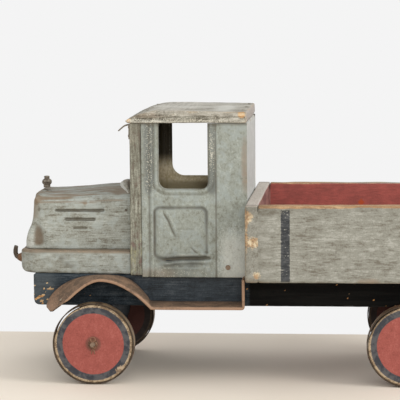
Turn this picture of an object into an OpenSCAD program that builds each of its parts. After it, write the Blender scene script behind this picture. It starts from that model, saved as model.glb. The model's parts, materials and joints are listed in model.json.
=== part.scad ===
// Push along toy truck: plank chassis, carved bonnet, pressed-tin cab sides and an open cargo box.
// +X points to the front of the truck, +Y to its left side, +Z up. The origin is on the ground
// under the middle of the whole truck. All sizes are in millimetres.

/* [Cargo box] */
// Outside length of the cargo box
box_len = 320; // [300:1:340]
// Outside width of the cargo box
box_w = 283; // [270:1:300]
// Height of the box boards
box_h = 94.5; // [80:0.5:110]
// Thickness of the side and end boards
board_t = 16; // [12:0.5:18]
// Thickness of the box floor
box_floor_t = 10; // [6:0.5:14]

/* [Chassis] */
// Height of the deck, the top of the chassis rails, above the ground
deck_z = 132.5; // [130:0.5:136]
// Height of a chassis rail
rail_h = 40; // [36:0.5:42]
// Thickness of a chassis rail
rail_t = 18; // [14:0.5:22]
// Width over the two chassis rails
chassis_w = 151; // [146:1:156]
// Radius of the worn lower front corner of a rail
rail_nose_r = 7; // [3:0.5:12]
// Distance that the bonnet base overhangs the front of the rails
base_overhang = 21.5; // [16:0.5:26]
// Distance from the rear of the box to the rear end of the rails
rail_rear_inset = 15; // [10:1:30]

/* [Wheels and axles] */
// Distance between the two axles
wheelbase = 389; // [380:1:395]
// Distance from the front of the cab forward to the front axle
axle_ahead = 43.5; // [41:0.5:46]
// Diameter of a wheel over its steel hoop
wheel_d = 102; // [98:0.5:104]
// Width over the outer faces of the hoops on one axle
wheel_track = 236.4; // [232:0.2:238]
// Width of the steel hoop
hoop_w = 16; // [14:0.5:16.5]
// Thickness of the steel hoop
hoop_t = 1.6; // [1.2:0.1:2.4]
// Thickness of the wooden wheel disc
disc_t = 15; // [13:0.5:15.5]
// Diameter of the axle rod
axle_d = 6; // [5:0.5:7]
// Radial running clearance between the axle and a wheel
wheel_fit = 0.08; // [0.03:0.01:0.1]
// Length of the axle block along the truck
block_len = 38; // [34:1:44]
// Height of the underside of an axle block above the ground
block_z = 37; // [32:0.5:40]
// Diameter of an axle washer
washer_d = 12.6; // [11:0.2:14]
// Thickness of an axle washer
washer_t = 1.2; // [0.8:0.1:1.6]
// Diameter of the wire of a split pin
pin_d = 1.9; // [1.6:0.1:2.2]

/* [Bonnet] */
// Length of the bonnet base from the cab to its rounded nose
base_len = 145; // [138:1:150]
// Thickness of the bonnet base
base_t = 29; // [26:0.5:32]
// Width of the bonnet base where it meets the cab
base_rear_w = 154; // [152:1:158]
// Width of the bonnet base behind its front corners
base_front_w = 144; // [138:1:150]
// Plan radius of the front corners of the base
base_corner_r = 30; // [20:1:40]
// Width of the bonnet
bonnet_w = 117; // [112:1:122]
// Height of the bonnet above its base at the cab
bonnet_h = 77.5; // [72:0.5:84]
// Fall of the bonnet top from the cab to its nose
bonnet_fall = 5; // [2:0.5:8]
// Length of the flat part of the bonnet top
bonnet_top_len = 113; // [106:1:115]
// Radius of the long shoulders of the bonnet
shoulder_r = 18; // [12:1:24]
// Rise of the bonnet top between its shoulders
crown_h = 4; // [2:0.5:6]
// Rise of the cowl band above the bonnet
cowl_rise = 4; // [2:0.5:6]
// Length of the cowl band along the bonnet
cowl_len = 12; // [8:0.5:16]
// Height of the radiator cap above the bonnet
cap_h = 16; // [12:0.5:20]
// Distance that the tow hook stands out from the base
hook_reach = 18; // [17:0.5:22]

/* [Cab] */
// Length of the cab
cab_len = 146.7; // [144:0.1:152]
// Width over the cab sides
cab_w = 167.4; // [164:0.2:170]
// Height of the cab walls above the deck
wall_h = 190.5; // [184:0.5:196]
// Thickness of the cab's front board
front_board_t = 15; // [12:0.5:17]
// Thickness of the cab's back board
back_board_t = 12; // [10:0.5:15]
// Thickness of the cab floor
cab_floor_t = 19; // [15:0.5:21]
// Thickness of the pressed tin sheet
tin_t = 1.2; // [0.8:0.1:1.6]
// Distance that the tin sides hang below the deck
tin_drop = 2.2; // [1:0.1:3]
// Height of the window sill above the deck
sill_h = 109; // [104:0.5:114]
// Length of a side window
window_len = 61; // [56:0.5:64]
// Distance from the rear of the cab to the side window
window_inset = 49; // [46:0.5:52]
// Radius of the front corner of a window sill
sill_front_r = 11; // [8:0.5:13]
// Radius of the rear corner of a window sill
sill_rear_r = 7; // [5:0.5:9]
// Width of the pressed bead round a window
bead_w = 5; // [3:0.5:6]
// Height of the pressed beads
bead_h = 0.8; // [0.5:0.1:1.2]
// Thickness of the roof slab
roof_t = 16; // [14:0.5:18]
// Distance that the roof overhangs each side
roof_side = 1.6; // [1:0.1:3]
// Distance that the roof overhangs the front
roof_nose = 4.8; // [3:0.1:7]

/* [Mudguards] */
// Width of a mudguard from the chassis to its outer lip
guard_w = 46; // [44:0.5:48]
// Thickness of the mudguard sheet
guard_t = 1.2; // [1:0.1:1.6]
// Depth of the rolled lip along the outer edge
lip_h = 3.5; // [2.5:0.1:4]
// Height of the underside of the running board lip above the ground
board_z = 95.5; // [93:0.5:98]
// Thickness of the apron between the mudguard and the rail
apron_t = 1; // [0.8:0.1:1.4]

/* [Hidden] */
$fn = 40;
fit_gap = 0.3;
skim = 0.01;
flat_steps = 8;

total_len = box_len + fit_gap + cab_len + base_len + hook_reach;
box_rear_x = -total_len / 2;
box_front_x = box_rear_x + box_len;
cab_rear_x = box_front_x + fit_gap;
cab_front_x = cab_rear_x + cab_len;
base_front_x = cab_front_x + base_len;
rail_front_x = base_front_x - base_overhang;
rail_rear_x = box_rear_x + rail_rear_inset;
front_axle_x = cab_front_x + axle_ahead;
rear_axle_x = front_axle_x - wheelbase;

wheel_r = wheel_d / 2;
axle_r = axle_d / 2;
wheel_face = wheel_track / 2;
disc_inner = wheel_face - (hoop_w + disc_t) / 2;
disc_outer = disc_inner + disc_t;
block_half = disc_inner - fit_gap - washer_t;
washer_face = disc_outer + fit_gap + washer_t;
pin_y = washer_face + 0.15 + pin_d / 2;
axle_half = pin_y + 4;

rail_z = deck_z - rail_h;
rail_in = chassis_w / 2 - rail_t;
base_top = deck_z + base_t;
cab_top = deck_z + wall_h;
roof_top = cab_top + roof_t;
box_top = deck_z + box_h;
tin_in = cab_w / 2 - tin_t;
front_board_x = cab_front_x - front_board_t;
guard_in = chassis_w / 2;
guard_out = guard_in + guard_w;
cap_x = cab_front_x + 118;
cap_seat_z = base_top + bonnet_h - bonnet_fall - crown_h / 4;
hook_z = deck_z + 12.5;

// Colours of the finishes
grey_green = [0.52, 0.54, 0.49];
dark_blue = [0.16, 0.19, 0.23];
faded_red = [0.62, 0.2, 0.18];
rusty = [0.35, 0.26, 0.2];
bare_wood = [0.62, 0.5, 0.36];
dull_steel = [0.4, 0.38, 0.35];

// A flat outline drawn as (x, z) becomes a plate from y to y + t
module plate_y(y, t) translate([0, y + t, 0]) rotate([90, 0, 0]) linear_extrude(t) children();

// A flat outline drawn as (y, z) becomes a plate from x to x + t
module plate_x(x, t) translate([x, 0, 0]) rotate([90, 0, 90]) linear_extrude(t) children();

// A box between two opposite corners
module block(a, b) translate(a) cube(b - a);

module mirrored(right) mirror([0, right ? 1 : 0, 0]) children();

module both_sides() for (right = [false, true]) mirrored(right) children();

// A round rod from one y to another
module rod_y(r, y0, y1) translate([0, y1, 0]) rotate([90, 0, 0]) cylinder(r = r, h = y1 - y0);

// A rectangle from corner a to corner b with round corners
module round_rect(a, b, r) {
    translate(a + [r, 0]) square(b - a - [2 * r, 0]);
    translate(a + [0, r]) square(b - a - [0, 2 * r]);
    for (x = [a[0] + r, b[0] - r], y = [a[1] + r, b[1] - r]) translate([x, y]) circle(r);
}

// A nail that points along -Z with its head standing on z = 0
head_t = 0.7;
module nail(head_r, shank_r, length) {
    cylinder(r = head_r, h = head_t, $fn = 20);
    translate([0, 0, -length]) cylinder(r = shank_r, h = length + skim, $fn = 16);
}

// ---- Chassis ----

module chassis_rail(right) color(dark_blue) mirrored(right) plate_y(rail_in, rail_t)
    difference() {
        translate([rail_rear_x, rail_z]) square([rail_front_x - rail_rear_x, rail_h]);
        translate([rail_front_x - rail_nose_r, rail_z - skim]) difference() {
            square(rail_nose_r + skim);
            translate([0, rail_nose_r + skim]) circle(rail_nose_r);
        }
    }

member_t = 18;
member_h = 36;
front_member_x = rail_front_x - member_t - 2;
middle_member_x = cab_rear_x - 40;
rear_member_x = rail_rear_x;

module cross_member(x) color(dark_blue)
    block([x, -rail_in, deck_z - member_h], [x + member_t, rail_in, deck_z]);

nail_drop = 9;
module chassis_nails() color(dull_steel) both_sides()
    for (x = [front_member_x, middle_member_x, rear_member_x], z = [deck_z - nail_drop, rail_z + 2 * nail_drop])
        translate([x + member_t / 2, chassis_w / 2, z]) rotate([-90, 0, 0]) nail(1.9, 0.9, 32);

// ---- Axles ----

module axle_block(x) color(dark_blue) difference() {
    plate_y(-block_half, 2 * block_half) polygon([
        [x - block_len / 2, rail_z], [x - block_len / 2, wheel_r + 8], [x - block_len / 3, block_z],
        [x + block_len / 3, block_z], [x + block_len / 2, wheel_r + 8], [x + block_len / 2, rail_z]]);
    translate([x, 0, wheel_r]) rod_y(axle_r + 0.05, -block_half - 1, block_half + 1);
}

module axle_block_screws() color(dull_steel) both_sides()
    for (x = [front_axle_x, rear_axle_x], dx = [-7.5, 7.5])
        translate([x + dx, rail_in + rail_t / 2, block_z]) mirror([0, 0, 1]) nail(2.8, 1.5, 78);

module axle(x) color(dull_steel) translate([x, 0, wheel_r]) difference() {
    rod_y(axle_r, -axle_half, axle_half);
    for (y = [-pin_y, pin_y]) translate([0, y, -axle_d]) cylinder(r = pin_d / 2 + 0.05, h = 2 * axle_d);
}

// A turned ring about the y axis, from radius r0 to r1 and from y0 to y1, with chamfered outer edges
module ring_y(r0, r1, y0, y1, chamfer) rotate([-90, 0, 0]) rotate_extrude($fn = 96) polygon([
    [r0, y0], [r1 - chamfer, y0], [r1, y0 + chamfer], [r1, y1 - chamfer], [r1 - chamfer, y1], [r0, y1]]);

module wheel_disc(x, right) color(faded_red) mirrored(right) translate([x, 0, wheel_r])
    ring_y(axle_r + wheel_fit, wheel_r - hoop_t, disc_inner, disc_outer, 0.6);

module wheel_hoop(x, right) color(rusty) mirrored(right) translate([x, 0, wheel_r])
    ring_y(wheel_r - hoop_t, wheel_r, wheel_face - hoop_w, wheel_face, 0.4);

module washer(x, y) translate([x, 0, wheel_r])
    ring_y(axle_r + 0.1, washer_d / 2, y, y + washer_t, 0.2);

module inner_washers() color(dull_steel) both_sides() {
    washer(front_axle_x, block_half);
    washer(rear_axle_x, block_half);
}

module outer_washer(x, right) color(rusty) mirrored(right) washer(x, washer_face - washer_t);

eye_r = 2.3;
eye_z = axle_r + eye_r + pin_d / 2;
leg_len = 10.5;
leg_angle = 14;

// An upright split pin: an eye above the axle and two bent legs below it
module split_pin(x, right) color(rusty) mirrored(right) translate([x, pin_y, wheel_r]) {
    translate([0, 0, -axle_r - 0.6]) cylinder(r = pin_d / 2, h = eye_z - eye_r + axle_r + 0.6);
    translate([0, 0, eye_z]) rotate([90, 0, 0]) rotate_extrude() translate([eye_r, 0]) circle(pin_d / 2, $fn = 16);
    for (side = [-1, 1]) translate([0, 0, -axle_r]) rotate([0, 180 + side * leg_angle, 0])
        cylinder(r = pin_d / 2 - 0.1, h = leg_len, $fn = 16);
}

// ---- Bonnet ----

// Points of an arc about a centre, from angle a0 to a1
function arc(c, r, a0, a1, n = flat_steps) =
    [for (i = [0:n]) c + r * [cos(a0 + (a1 - a0) * i / n), sin(a0 + (a1 - a0) * i / n)]];

function flip(points) = [for (i = [len(points) - 1:-1:0]) [-points[i][0], points[i][1]]];

// Height of the bonnet's crowned top at a distance y from its middle, at the cab
function crown_z(y) = base_top + bonnet_h - crown_h * pow(y / (bonnet_w / 2 - shoulder_r), 2);

base_half_section = [[base_rear_w / 2, 0], [base_front_w / 2, base_len - base_corner_r]];
base_outline = concat([base_half_section[0]],
    arc([base_front_w / 2 - base_corner_r, base_len - base_corner_r], base_corner_r, 0, 90));

module bonnet_base() color(grey_green) intersection() {
    translate([cab_front_x, 0, deck_z]) linear_extrude(base_t) rotate(-90)
        polygon(concat(base_outline, flip(base_outline)));
    plate_y(-base_rear_w, 2 * base_rear_w) {
        translate([cab_front_x, deck_z]) square([base_len - 10, base_t]);
        round_rect([cab_front_x + base_len / 2, deck_z], [base_front_x, base_top], 10);
        translate([cab_front_x + base_len / 2, base_top - base_t / 2]) square([base_len / 2 - 8, base_t / 2]);
        round_rect([cab_front_x + base_len / 2, base_top - base_t * 0.7], [base_front_x, base_top], 5);
    }
}

shoulder_z = base_top + bonnet_h - crown_h - shoulder_r;
section_half = concat([[bonnet_w / 2, base_top]],
    arc([bonnet_w / 2 - shoulder_r, shoulder_z], shoulder_r, 0, 80),
    [for (i = [flat_steps - 1:-1:0]) let (y = (bonnet_w / 2 - shoulder_r) * i / flat_steps) [y, crown_z(y)]]);

nose_r = 16;
nose_z = base_top + bonnet_h - bonnet_fall;
bonnet_side = concat([[0, base_top], [0, base_top + bonnet_h]],
    arc([bonnet_top_len, nose_z - nose_r], nose_r, 90, 8),
    [[bonnet_top_len + 18, base_top + 30], [bonnet_top_len + 21, base_top + 18],
     [bonnet_top_len + 24.5, base_top + 6], [bonnet_top_len + 25, base_top]]);

nose_corner_r = 25;
bonnet_plan = concat([[bonnet_w / 2, 0]],
    arc([bonnet_w / 2 - nose_corner_r, bonnet_top_len + 25 - nose_corner_r], nose_corner_r, 0, 90));

louvre_z = [49.5, 38, 27];
louvre_len = [62, 38, 18];
louvre_mid = 66.5;
louvre_w = 2.4;
louvre_depth = 1.6;
peg_r = 3;
peg_len = 12;

module louvre(length) {
    square([length - louvre_w, louvre_w], center = true);
    for (side = [-1, 1]) translate([side * (length - louvre_w) / 2, 0]) circle(louvre_w / 2);
}

module bonnet() color(grey_green) difference() {
    intersection() {
        plate_x(cab_front_x, bonnet_top_len + 26) polygon(concat(section_half, flip(section_half)));
        plate_y(-bonnet_w, 2 * bonnet_w) translate([cab_front_x, 0]) polygon(bonnet_side);
        translate([cab_front_x, 0, base_top]) linear_extrude(bonnet_h) rotate(-90)
            polygon(concat(bonnet_plan, flip(bonnet_plan)));
    }
    both_sides() for (i = [0:len(louvre_z) - 1])
        plate_y(bonnet_w / 2 - louvre_depth, louvre_depth + 1)
            translate([cab_front_x + louvre_mid, base_top + louvre_z[i]]) louvre(louvre_len[i]);
    translate([cap_x, 0, cap_seat_z]) cylinder(r = 7, h = 20);
    translate([cap_x, 0, cap_seat_z - peg_len]) cylinder(r = peg_r, h = peg_len + 1);
}

cowl_half = bonnet_w / 2 - shoulder_r * 0.35;
cowl_steps = 16;

// The cowl band's outer edge rises above the bonnet's section and dies into its shoulders
function section_z(y) = abs(y) < bonnet_w / 2 - shoulder_r ? crown_z(y)
    : shoulder_z + sqrt(pow(shoulder_r, 2) - pow(abs(y) - bonnet_w / 2 + shoulder_r, 2));
module cowl_band() color(grey_green) plate_x(cab_front_x, cowl_len) difference() {
    polygon(concat([[cowl_half, base_top + 10], [-cowl_half, base_top + 10]],
        [for (i = [-cowl_steps:cowl_steps]) let (y = cowl_half * i / cowl_steps)
            [y, section_z(y) + 0.6 + cowl_rise * cos(90 * i / cowl_steps)]]));
    polygon(concat(section_half, flip(section_half)));
}

cap_ball_r = 6.1;
module radiator_cap() color(rusty) translate([cap_x, 0, cap_seat_z]) {
    translate([0, 0, -peg_len]) cylinder(r = peg_r, h = peg_len + 1);
    cylinder(r = 4.3, h = cap_h / 2);
    translate([0, 0, cap_h / 2 + 0.6]) sphere(cap_ball_r);
    translate([0, 0, cap_h / 2]) cylinder(r = 3.1, h = cap_h / 2);
}

hook_r = 2.4;
hook_bend_r = 8;
hook_bend_x = base_front_x + hook_reach - hook_r - hook_bend_r;
module tow_hook() color(rusty) translate([base_front_x, 0, hook_z]) {
    rotate([0, 90, 0]) cylinder(r = 5.8, h = 3);
    rotate([0, 90, 0]) cylinder(r = hook_r + 1, h = 5.5);
    rotate([0, 90, 0]) cylinder(r = hook_r, h = hook_bend_x - base_front_x);
    translate([hook_bend_x - base_front_x, 0, hook_bend_r]) {
        rotate([90, 0, 0]) rotate_extrude(angle = -90) translate([hook_bend_r, 0]) circle(hook_r);
        translate([hook_bend_r, 0, 0]) cylinder(r = hook_r, h = 5);
        translate([hook_bend_r, 0, 5]) sphere(hook_r);
    }
}

module bonnet_nails() color(dull_steel) both_sides()
    translate([cab_front_x + 8, bonnet_w / 2, base_top + 50]) rotate([-90, 0, 0]) nail(1.7, 0.9, 14);

// ---- Cab ----

screen_half = 56;
screen_sill = deck_z + 118;
screen_top = cab_top - 23;

module cab_front_board() color(grey_green) plate_x(front_board_x, front_board_t) difference() {
    translate([-cab_w / 2, deck_z]) square([cab_w, wall_h]);
    round_rect([-screen_half, screen_sill], [screen_half, screen_top], 6);
}

module cab_back_board() color(grey_green)
    block([cab_rear_x, -tin_in, deck_z], [cab_rear_x + back_board_t, tin_in, cab_top]);

module cab_floor() color(dark_blue)
    block([cab_rear_x + back_board_t, -tin_in, deck_z], [front_board_x, tin_in, deck_z + cab_floor_t]);

window_rear_x = cab_rear_x + window_inset;
window_front_x = window_rear_x + window_len;
sill_z = deck_z + sill_h;

// A window shape grown by a margin: open at the top, round at the two sill corners
module window_shape(margin, top) {
    rear = window_rear_x - margin;
    front = window_front_x + margin;
    low = sill_z - margin;
    rr = sill_rear_r + margin;
    fr = sill_front_r + margin;
    translate([rear, low + fr]) square([front - rear, top - low - fr]);
    translate([rear + rr, low]) square([front - rear - rr - fr, fr + skim]);
    translate([rear, low + rr]) square([rr + skim, fr - rr + skim]);
    translate([rear + rr, low + rr]) circle(rr);
    translate([front - fr, low + fr]) circle(fr);
}

// The embossed lower door panel, between two corners
panel_low = [cab_rear_x + 52.5, deck_z + 23];
panel_high = [cab_rear_x + 114.5, deck_z + 83.5];
door_beads = [40.2, 115.7, 125.5];
door_bead_w = 4.5;

module cab_side(right) color(grey_green) mirrored(right) {
    low = deck_z - tin_drop;
    plate_y(tin_in, tin_t) difference() {
        translate([cab_rear_x, low]) square([front_board_x - cab_rear_x, cab_top - low]);
        window_shape(0, cab_top + 1);
    }
    plate_y(tin_in + tin_t - skim, bead_h) {
        difference() {
            window_shape(bead_w, cab_top - 1);
            window_shape(skim, cab_top + 1);
        }
        difference() {
            round_rect(panel_low, panel_high, 6);
            round_rect(panel_low + [2.5, 2.5], panel_high - [2.5, 2.5], 4);
        }
        for (i = [0, 1, 2]) translate([cab_rear_x + door_beads[i] - (i == 1 ? 1 : 0), deck_z])
            square([door_bead_w, i == 1 ? sill_h * 0.78 : wall_h - 1]);
    }
}

// The roof's top falls along a parabola from fall_x to its nose
fall_x = cab_front_x - 37;
nose_x = cab_front_x + roof_nose;
nose_drop = 12;
function roof_z(x) = roof_top - nose_drop * pow((x - fall_x) / (nose_x - fall_x), 2);
roof_steps = 10;
module cab_roof() color(grey_green) plate_y(-cab_w / 2 - roof_side, cab_w + 2 * roof_side)
    polygon(concat([[cab_rear_x, cab_top], [cab_rear_x, roof_top - 1.5]],
        [for (i = [0:roof_steps]) let (x = fall_x + (nose_x - fall_x) * i / roof_steps) [x, roof_z(x)]],
        [[nose_x, cab_top + 2], [nose_x - 3, cab_top]]));

screw_x = cab_rear_x + 24.4;
screw_z = deck_z + 10.4;
module cab_screws() color(dull_steel) both_sides()
    translate([screw_x, cab_w / 2, screw_z]) rotate([-90, 0, 0]) nail(3.2, 1.5, 20);

module roof_nails() color(dull_steel)
    for (x = [cab_rear_x + 6, front_board_x - 6], y = [-60, 0, 60])
        translate([x, y, roof_top - (x < 50 ? 1.4 : 2.0)]) nail(1.9, 0.9, 28);

strip_low = cab_top - 20;
strip_t = 1;
module windscreen_strip() color(rusty)
    block([cab_front_x, -cab_w / 2 + 2, strip_low], [cab_front_x + strip_t, cab_w / 2 - 2, cab_top - 2]);

module strip_tacks() color(rusty) both_sides()
    for (y = [28, cab_w / 2 - 5], z = [strip_low + 4, cab_top - 5])
        translate([cab_front_x + strip_t, y, z]) rotate([0, 90, 0]) nail(1.6, 0.8, 10);

// A nail left bent below the roof's nose, its outer end knocked down at nail_slope degrees
nail_r = 0.8;
nail_slope = 35;
nail_len = 14;
module bent_nail() color(rusty) translate([cab_front_x, cab_w / 2 - 14, cab_top - 2.6]) {
    translate([-10, 0, 0]) rotate([0, 90, 0]) cylinder(r = nail_r, h = 15, $fn = 24);
    translate([3.6, 0, 0]) rotate([0, 90 + nail_slope, 0]) cylinder(r = nail_r * 0.92, h = nail_len, $fn = 24);
}

// ---- Mudguards ----

function bez(p, t) = pow(1 - t, 3) * p[0] + 3 * pow(1 - t, 2) * t * p[1]
    + 3 * (1 - t) * t * t * p[2] + pow(t, 3) * p[3];

// Control points as (x from the front axle, z from the ground). The lip's lower edge runs along the
// outside and the sheet's top runs along the chassis, each from the front tip over the crest.
lip_crest = [-10, 129.7];
lip_front = [[54.5, 88.2], [46, 83], [14.5, 129.7], lip_crest];
lip_rear = [lip_crest, [-33.5, 129.7], [-55, 114], [-72.5, board_z]];
wall_crest = [-2, 132];
wall_front = [[65.5, 91], [61.5, 112.5], [31, 132], wall_crest];
wall_rear = [wall_crest, [-35.5, 132], [-45, 131], [-68, board_z + lip_h]];
arch_steps = 12;
flange_x = cab_rear_x + 0.7 - front_axle_x;
flange_r = 4;
flange_z = deck_z - 3;

function curve(front, rear) = concat(
    [for (i = [0:arch_steps - 1]) bez(front, i / arch_steps)],
    [for (i = [0:arch_steps]) bez(rear, i / arch_steps)]);
board_path = concat([[-80, board_z]],
    arc([flange_x + flange_r, board_z + flange_r], flange_r, 270, 180, 4), [[flange_x, flange_z]]);

function unit(v) = v / norm(v);
// Upward normal of a path at a point, from its two neighbours
function path_normal(path, i) =
    let (d = unit(path[min(i + 1, len(path) - 1)] - path[max(i - 1, 0)])) [d[1], -d[0]];
function raised(path, h) = [for (i = [0:len(path) - 1]) path[i] + h * path_normal(path, i)];

lip_path = concat(curve(lip_front, lip_rear), board_path);
crown_path = raised(lip_path, lip_h);
arch_count = 2 * arch_steps + 1;
wall_path = [for (i = [0:len(lip_path) - 1]) i < arch_count ? curve(wall_front, wall_rear)[i] : crown_path[i]];
wall_under = raised(wall_path, -guard_t);
crown_under = raised(lip_path, lip_h - guard_t);

function at_y(p, y) = [p[0] + front_axle_x, y, p[1]];
ring_size = 6;
sheet_in = guard_in + apron_t;
guard_points = [for (i = [0:len(lip_path) - 1]) each [
    at_y(wall_path[i], sheet_in), at_y(crown_path[i], guard_out), at_y(lip_path[i], guard_out),
    at_y(lip_path[i], guard_out - guard_t), at_y(crown_under[i], guard_out - guard_t),
    at_y(wall_under[i], sheet_in)]];
guard_rings = len(lip_path);
guard_end = [[0, 1, 4], [0, 4, 5], [1, 2, 3], [1, 3, 4]];
guard_faces = concat(guard_end,
    [for (f = guard_end) [for (j = [2:-1:0]) (guard_rings - 1) * ring_size + f[j]]],
    [for (i = [0:guard_rings - 2], j = [0:ring_size - 1]) let (k = (j + 1) % ring_size, a = i * ring_size)
        each j < 3 ? [[a + j, a + ring_size + j, a + ring_size + k], [a + j, a + ring_size + k, a + k]]
            : [[a + j, a + ring_size + j, a + k], [a + ring_size + j, a + ring_size + k, a + k]]]);

module mudguard(right) color(rusty) mirrored(right) polyhedron(guard_points, guard_faces, convexity = 6);

flange_drop = 6;
// The sheet against the rail: a flange below the front of the arch, and an apron behind its crest
apron_outline = concat(
    [for (i = [1:arch_steps]) raised(wall_path, -0.4)[i]],
    [[flange_x + lip_h - 0.5, flange_z - 0.5]],
    [for (i = [guard_rings - 2:-1:arch_steps]) raised(wall_path, -0.6)[i]],
    [for (i = [arch_steps - 1:-1:1]) raised(wall_path, -flange_drop)[i]]);

module apron(right) color(dark_blue) mirrored(right)
    plate_y(guard_in, apron_t) translate([front_axle_x, 0]) polygon(apron_outline);

// Nails through the apron and the front flange, and one rivet near the front of each outer edge
apron_nails = [20, 76, 122];
rivet_at = [40.4, 36.5, -27.3];
module mudguard_nails() color(dull_steel) both_sides() {
    for (x = apron_nails) translate([cab_rear_x + x, guard_in + apron_t, deck_z - 12])
        rotate([-90, 0, 0]) nail(1.7, 0.9, 12);
    translate([front_axle_x + 52, guard_in + apron_t, deck_z - 24]) rotate([-90, 0, 0]) nail(1.5, 0.9, 12);
    translate([front_axle_x, guard_in, deck_z] + rivet_at) rotate([0, 46, 28]) nail(1.8, 0.9, 3);
}

// ---- Cargo box ----

side_y = box_w / 2 - board_t;

module box_front_board() color(grey_green)
    block([box_front_x - board_t, -box_w / 2, deck_z], [box_front_x, box_w / 2, box_top]);

module box_rear_board() color(grey_green)
    block([box_rear_x, -box_w / 2, deck_z], [box_rear_x + board_t, box_w / 2, box_top]);

module box_side(right) color(grey_green) mirrored(right)
    block([box_rear_x + board_t, side_y, deck_z], [box_front_x - board_t, box_w / 2, box_top]);

module box_floor() color(faded_red)
    block([box_rear_x + board_t, -side_y, deck_z], [box_front_x - board_t, side_y, deck_z + box_floor_t]);

nail_heights = [14, 47, 80];
module box_nails() color(dull_steel) both_sides() for (h = nail_heights) {
    translate([box_front_x - head_t, side_y + board_t / 2, deck_z + h]) rotate([0, 90, 0]) nail(1.9, 0.9, 34);
    translate([box_rear_x + head_t, side_y + board_t / 2, deck_z + h]) rotate([0, -90, 0]) nail(1.9, 0.9, 34);
}

chassis_rail(false);  // chassis_rail_left
chassis_rail(true);  // chassis_rail_right
cross_member(front_member_x);  // front_cross_member
cross_member(middle_member_x);  // middle_cross_member
cross_member(rear_member_x);  // rear_cross_member
chassis_nails();
axle_block(front_axle_x);  // front_axle_block
axle_block(rear_axle_x);  // rear_axle_block
axle_block_screws();
axle(front_axle_x);  // front_axle
axle(rear_axle_x);  // rear_axle
wheel_disc(front_axle_x, false);  // wheel_disc_front_left
wheel_disc(front_axle_x, true);  // wheel_disc_front_right
wheel_disc(rear_axle_x, false);  // wheel_disc_rear_left
wheel_disc(rear_axle_x, true);  // wheel_disc_rear_right
wheel_hoop(front_axle_x, false);  // wheel_hoop_front_left
wheel_hoop(front_axle_x, true);  // wheel_hoop_front_right
wheel_hoop(rear_axle_x, false);  // wheel_hoop_rear_left
wheel_hoop(rear_axle_x, true);  // wheel_hoop_rear_right
inner_washers();
outer_washer(front_axle_x, false);  // outer_washer_front_left
outer_washer(front_axle_x, true);  // outer_washer_front_right
outer_washer(rear_axle_x, false);  // outer_washer_rear_left
outer_washer(rear_axle_x, true);  // outer_washer_rear_right
split_pin(front_axle_x, false);  // split_pin_front_left
split_pin(front_axle_x, true);  // split_pin_front_right
split_pin(rear_axle_x, false);  // split_pin_rear_left
split_pin(rear_axle_x, true);  // split_pin_rear_right
bonnet_base();
bonnet();
cowl_band();
radiator_cap();
tow_hook();
bonnet_nails();
cab_front_board();
cab_back_board();
cab_floor();
cab_side(false);  // cab_side_left
cab_side(true);  // cab_side_right
cab_roof();
cab_screws();
roof_nails();
windscreen_strip();
strip_tacks();
bent_nail();
mudguard(false);  // mudguard_left
mudguard(true);  // mudguard_right
apron(false);  // apron_left
apron(true);  // apron_right
mudguard_nails();
box_front_board();
box_rear_board();
box_side(false);  // box_side_left
box_side(true);  // box_side_right
box_floor();
box_nails();
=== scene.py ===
import json
import math

import bmesh
import bpy
import numpy as np
from mathutils import Matrix, Vector


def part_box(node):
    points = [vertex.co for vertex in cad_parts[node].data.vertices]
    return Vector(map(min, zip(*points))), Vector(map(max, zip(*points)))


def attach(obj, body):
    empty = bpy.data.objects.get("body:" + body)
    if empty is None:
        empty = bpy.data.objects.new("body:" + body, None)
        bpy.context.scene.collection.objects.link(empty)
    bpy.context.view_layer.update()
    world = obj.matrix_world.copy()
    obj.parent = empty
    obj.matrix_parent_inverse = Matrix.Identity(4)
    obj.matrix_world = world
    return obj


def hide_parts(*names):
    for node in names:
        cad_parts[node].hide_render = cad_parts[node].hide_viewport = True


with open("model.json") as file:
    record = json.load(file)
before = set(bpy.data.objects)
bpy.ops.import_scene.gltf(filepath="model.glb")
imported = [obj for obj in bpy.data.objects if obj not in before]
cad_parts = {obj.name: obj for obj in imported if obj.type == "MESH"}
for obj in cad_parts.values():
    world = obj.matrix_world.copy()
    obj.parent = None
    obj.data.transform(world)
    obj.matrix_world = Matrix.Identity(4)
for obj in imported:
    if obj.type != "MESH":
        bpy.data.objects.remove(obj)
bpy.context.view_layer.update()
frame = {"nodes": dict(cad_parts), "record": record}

MM = 0.001
SLOT_OF = {part["node"]: part["material_slot"] for part in frame["record"]["subparts"]}
BODY_OF = {node: body for body, nodes in frame["record"]["behaviour"]["bodies"].items()
           for node in nodes}
# Radius of the axle rods and height of the axles
ROD, AXLE_Z = 3.0, 51.0
# Nodes whose look isn't their slot's own
PAINTED_OVER = {"chassis_nails": "chassis_paint", "box_nails": "box_paint", "roof_nails": "roof_wood",
                "cab_screws": "axle_steel", "mudguard_nails": "nail_paint",
                "box_front_board": "box_across", "box_rear_board": "box_across"}
PAINTED_OVER.update((node, "hub_rust") for node in SLOT_OF
                    if node.startswith(("outer_washer", "split_pin")))
# The object that stands for each replaced node
made = {}


# ---- Numbers ----

def rgb(red, green, blue):
    """Linear colour of an sRGB colour given from 0 to 255."""
    parts = [c / 255 for c in (red, green, blue)]
    return tuple(c / 12.92 if c < 0.04 else ((c + 0.055) / 1.055) ** 2.4 for c in parts) + (1,)


def step(value, low, high):
    """0 below low and 1 above high, smooth between."""
    t = np.clip((value - low) / (high - low), 0, 1)
    return t * t * (3 - 2 * t)


def ridge(value, centre, half):
    """1 at centre, falling smoothly to 0 at half either side."""
    return 1 - step(np.abs(value - centre), 0, half)


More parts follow.
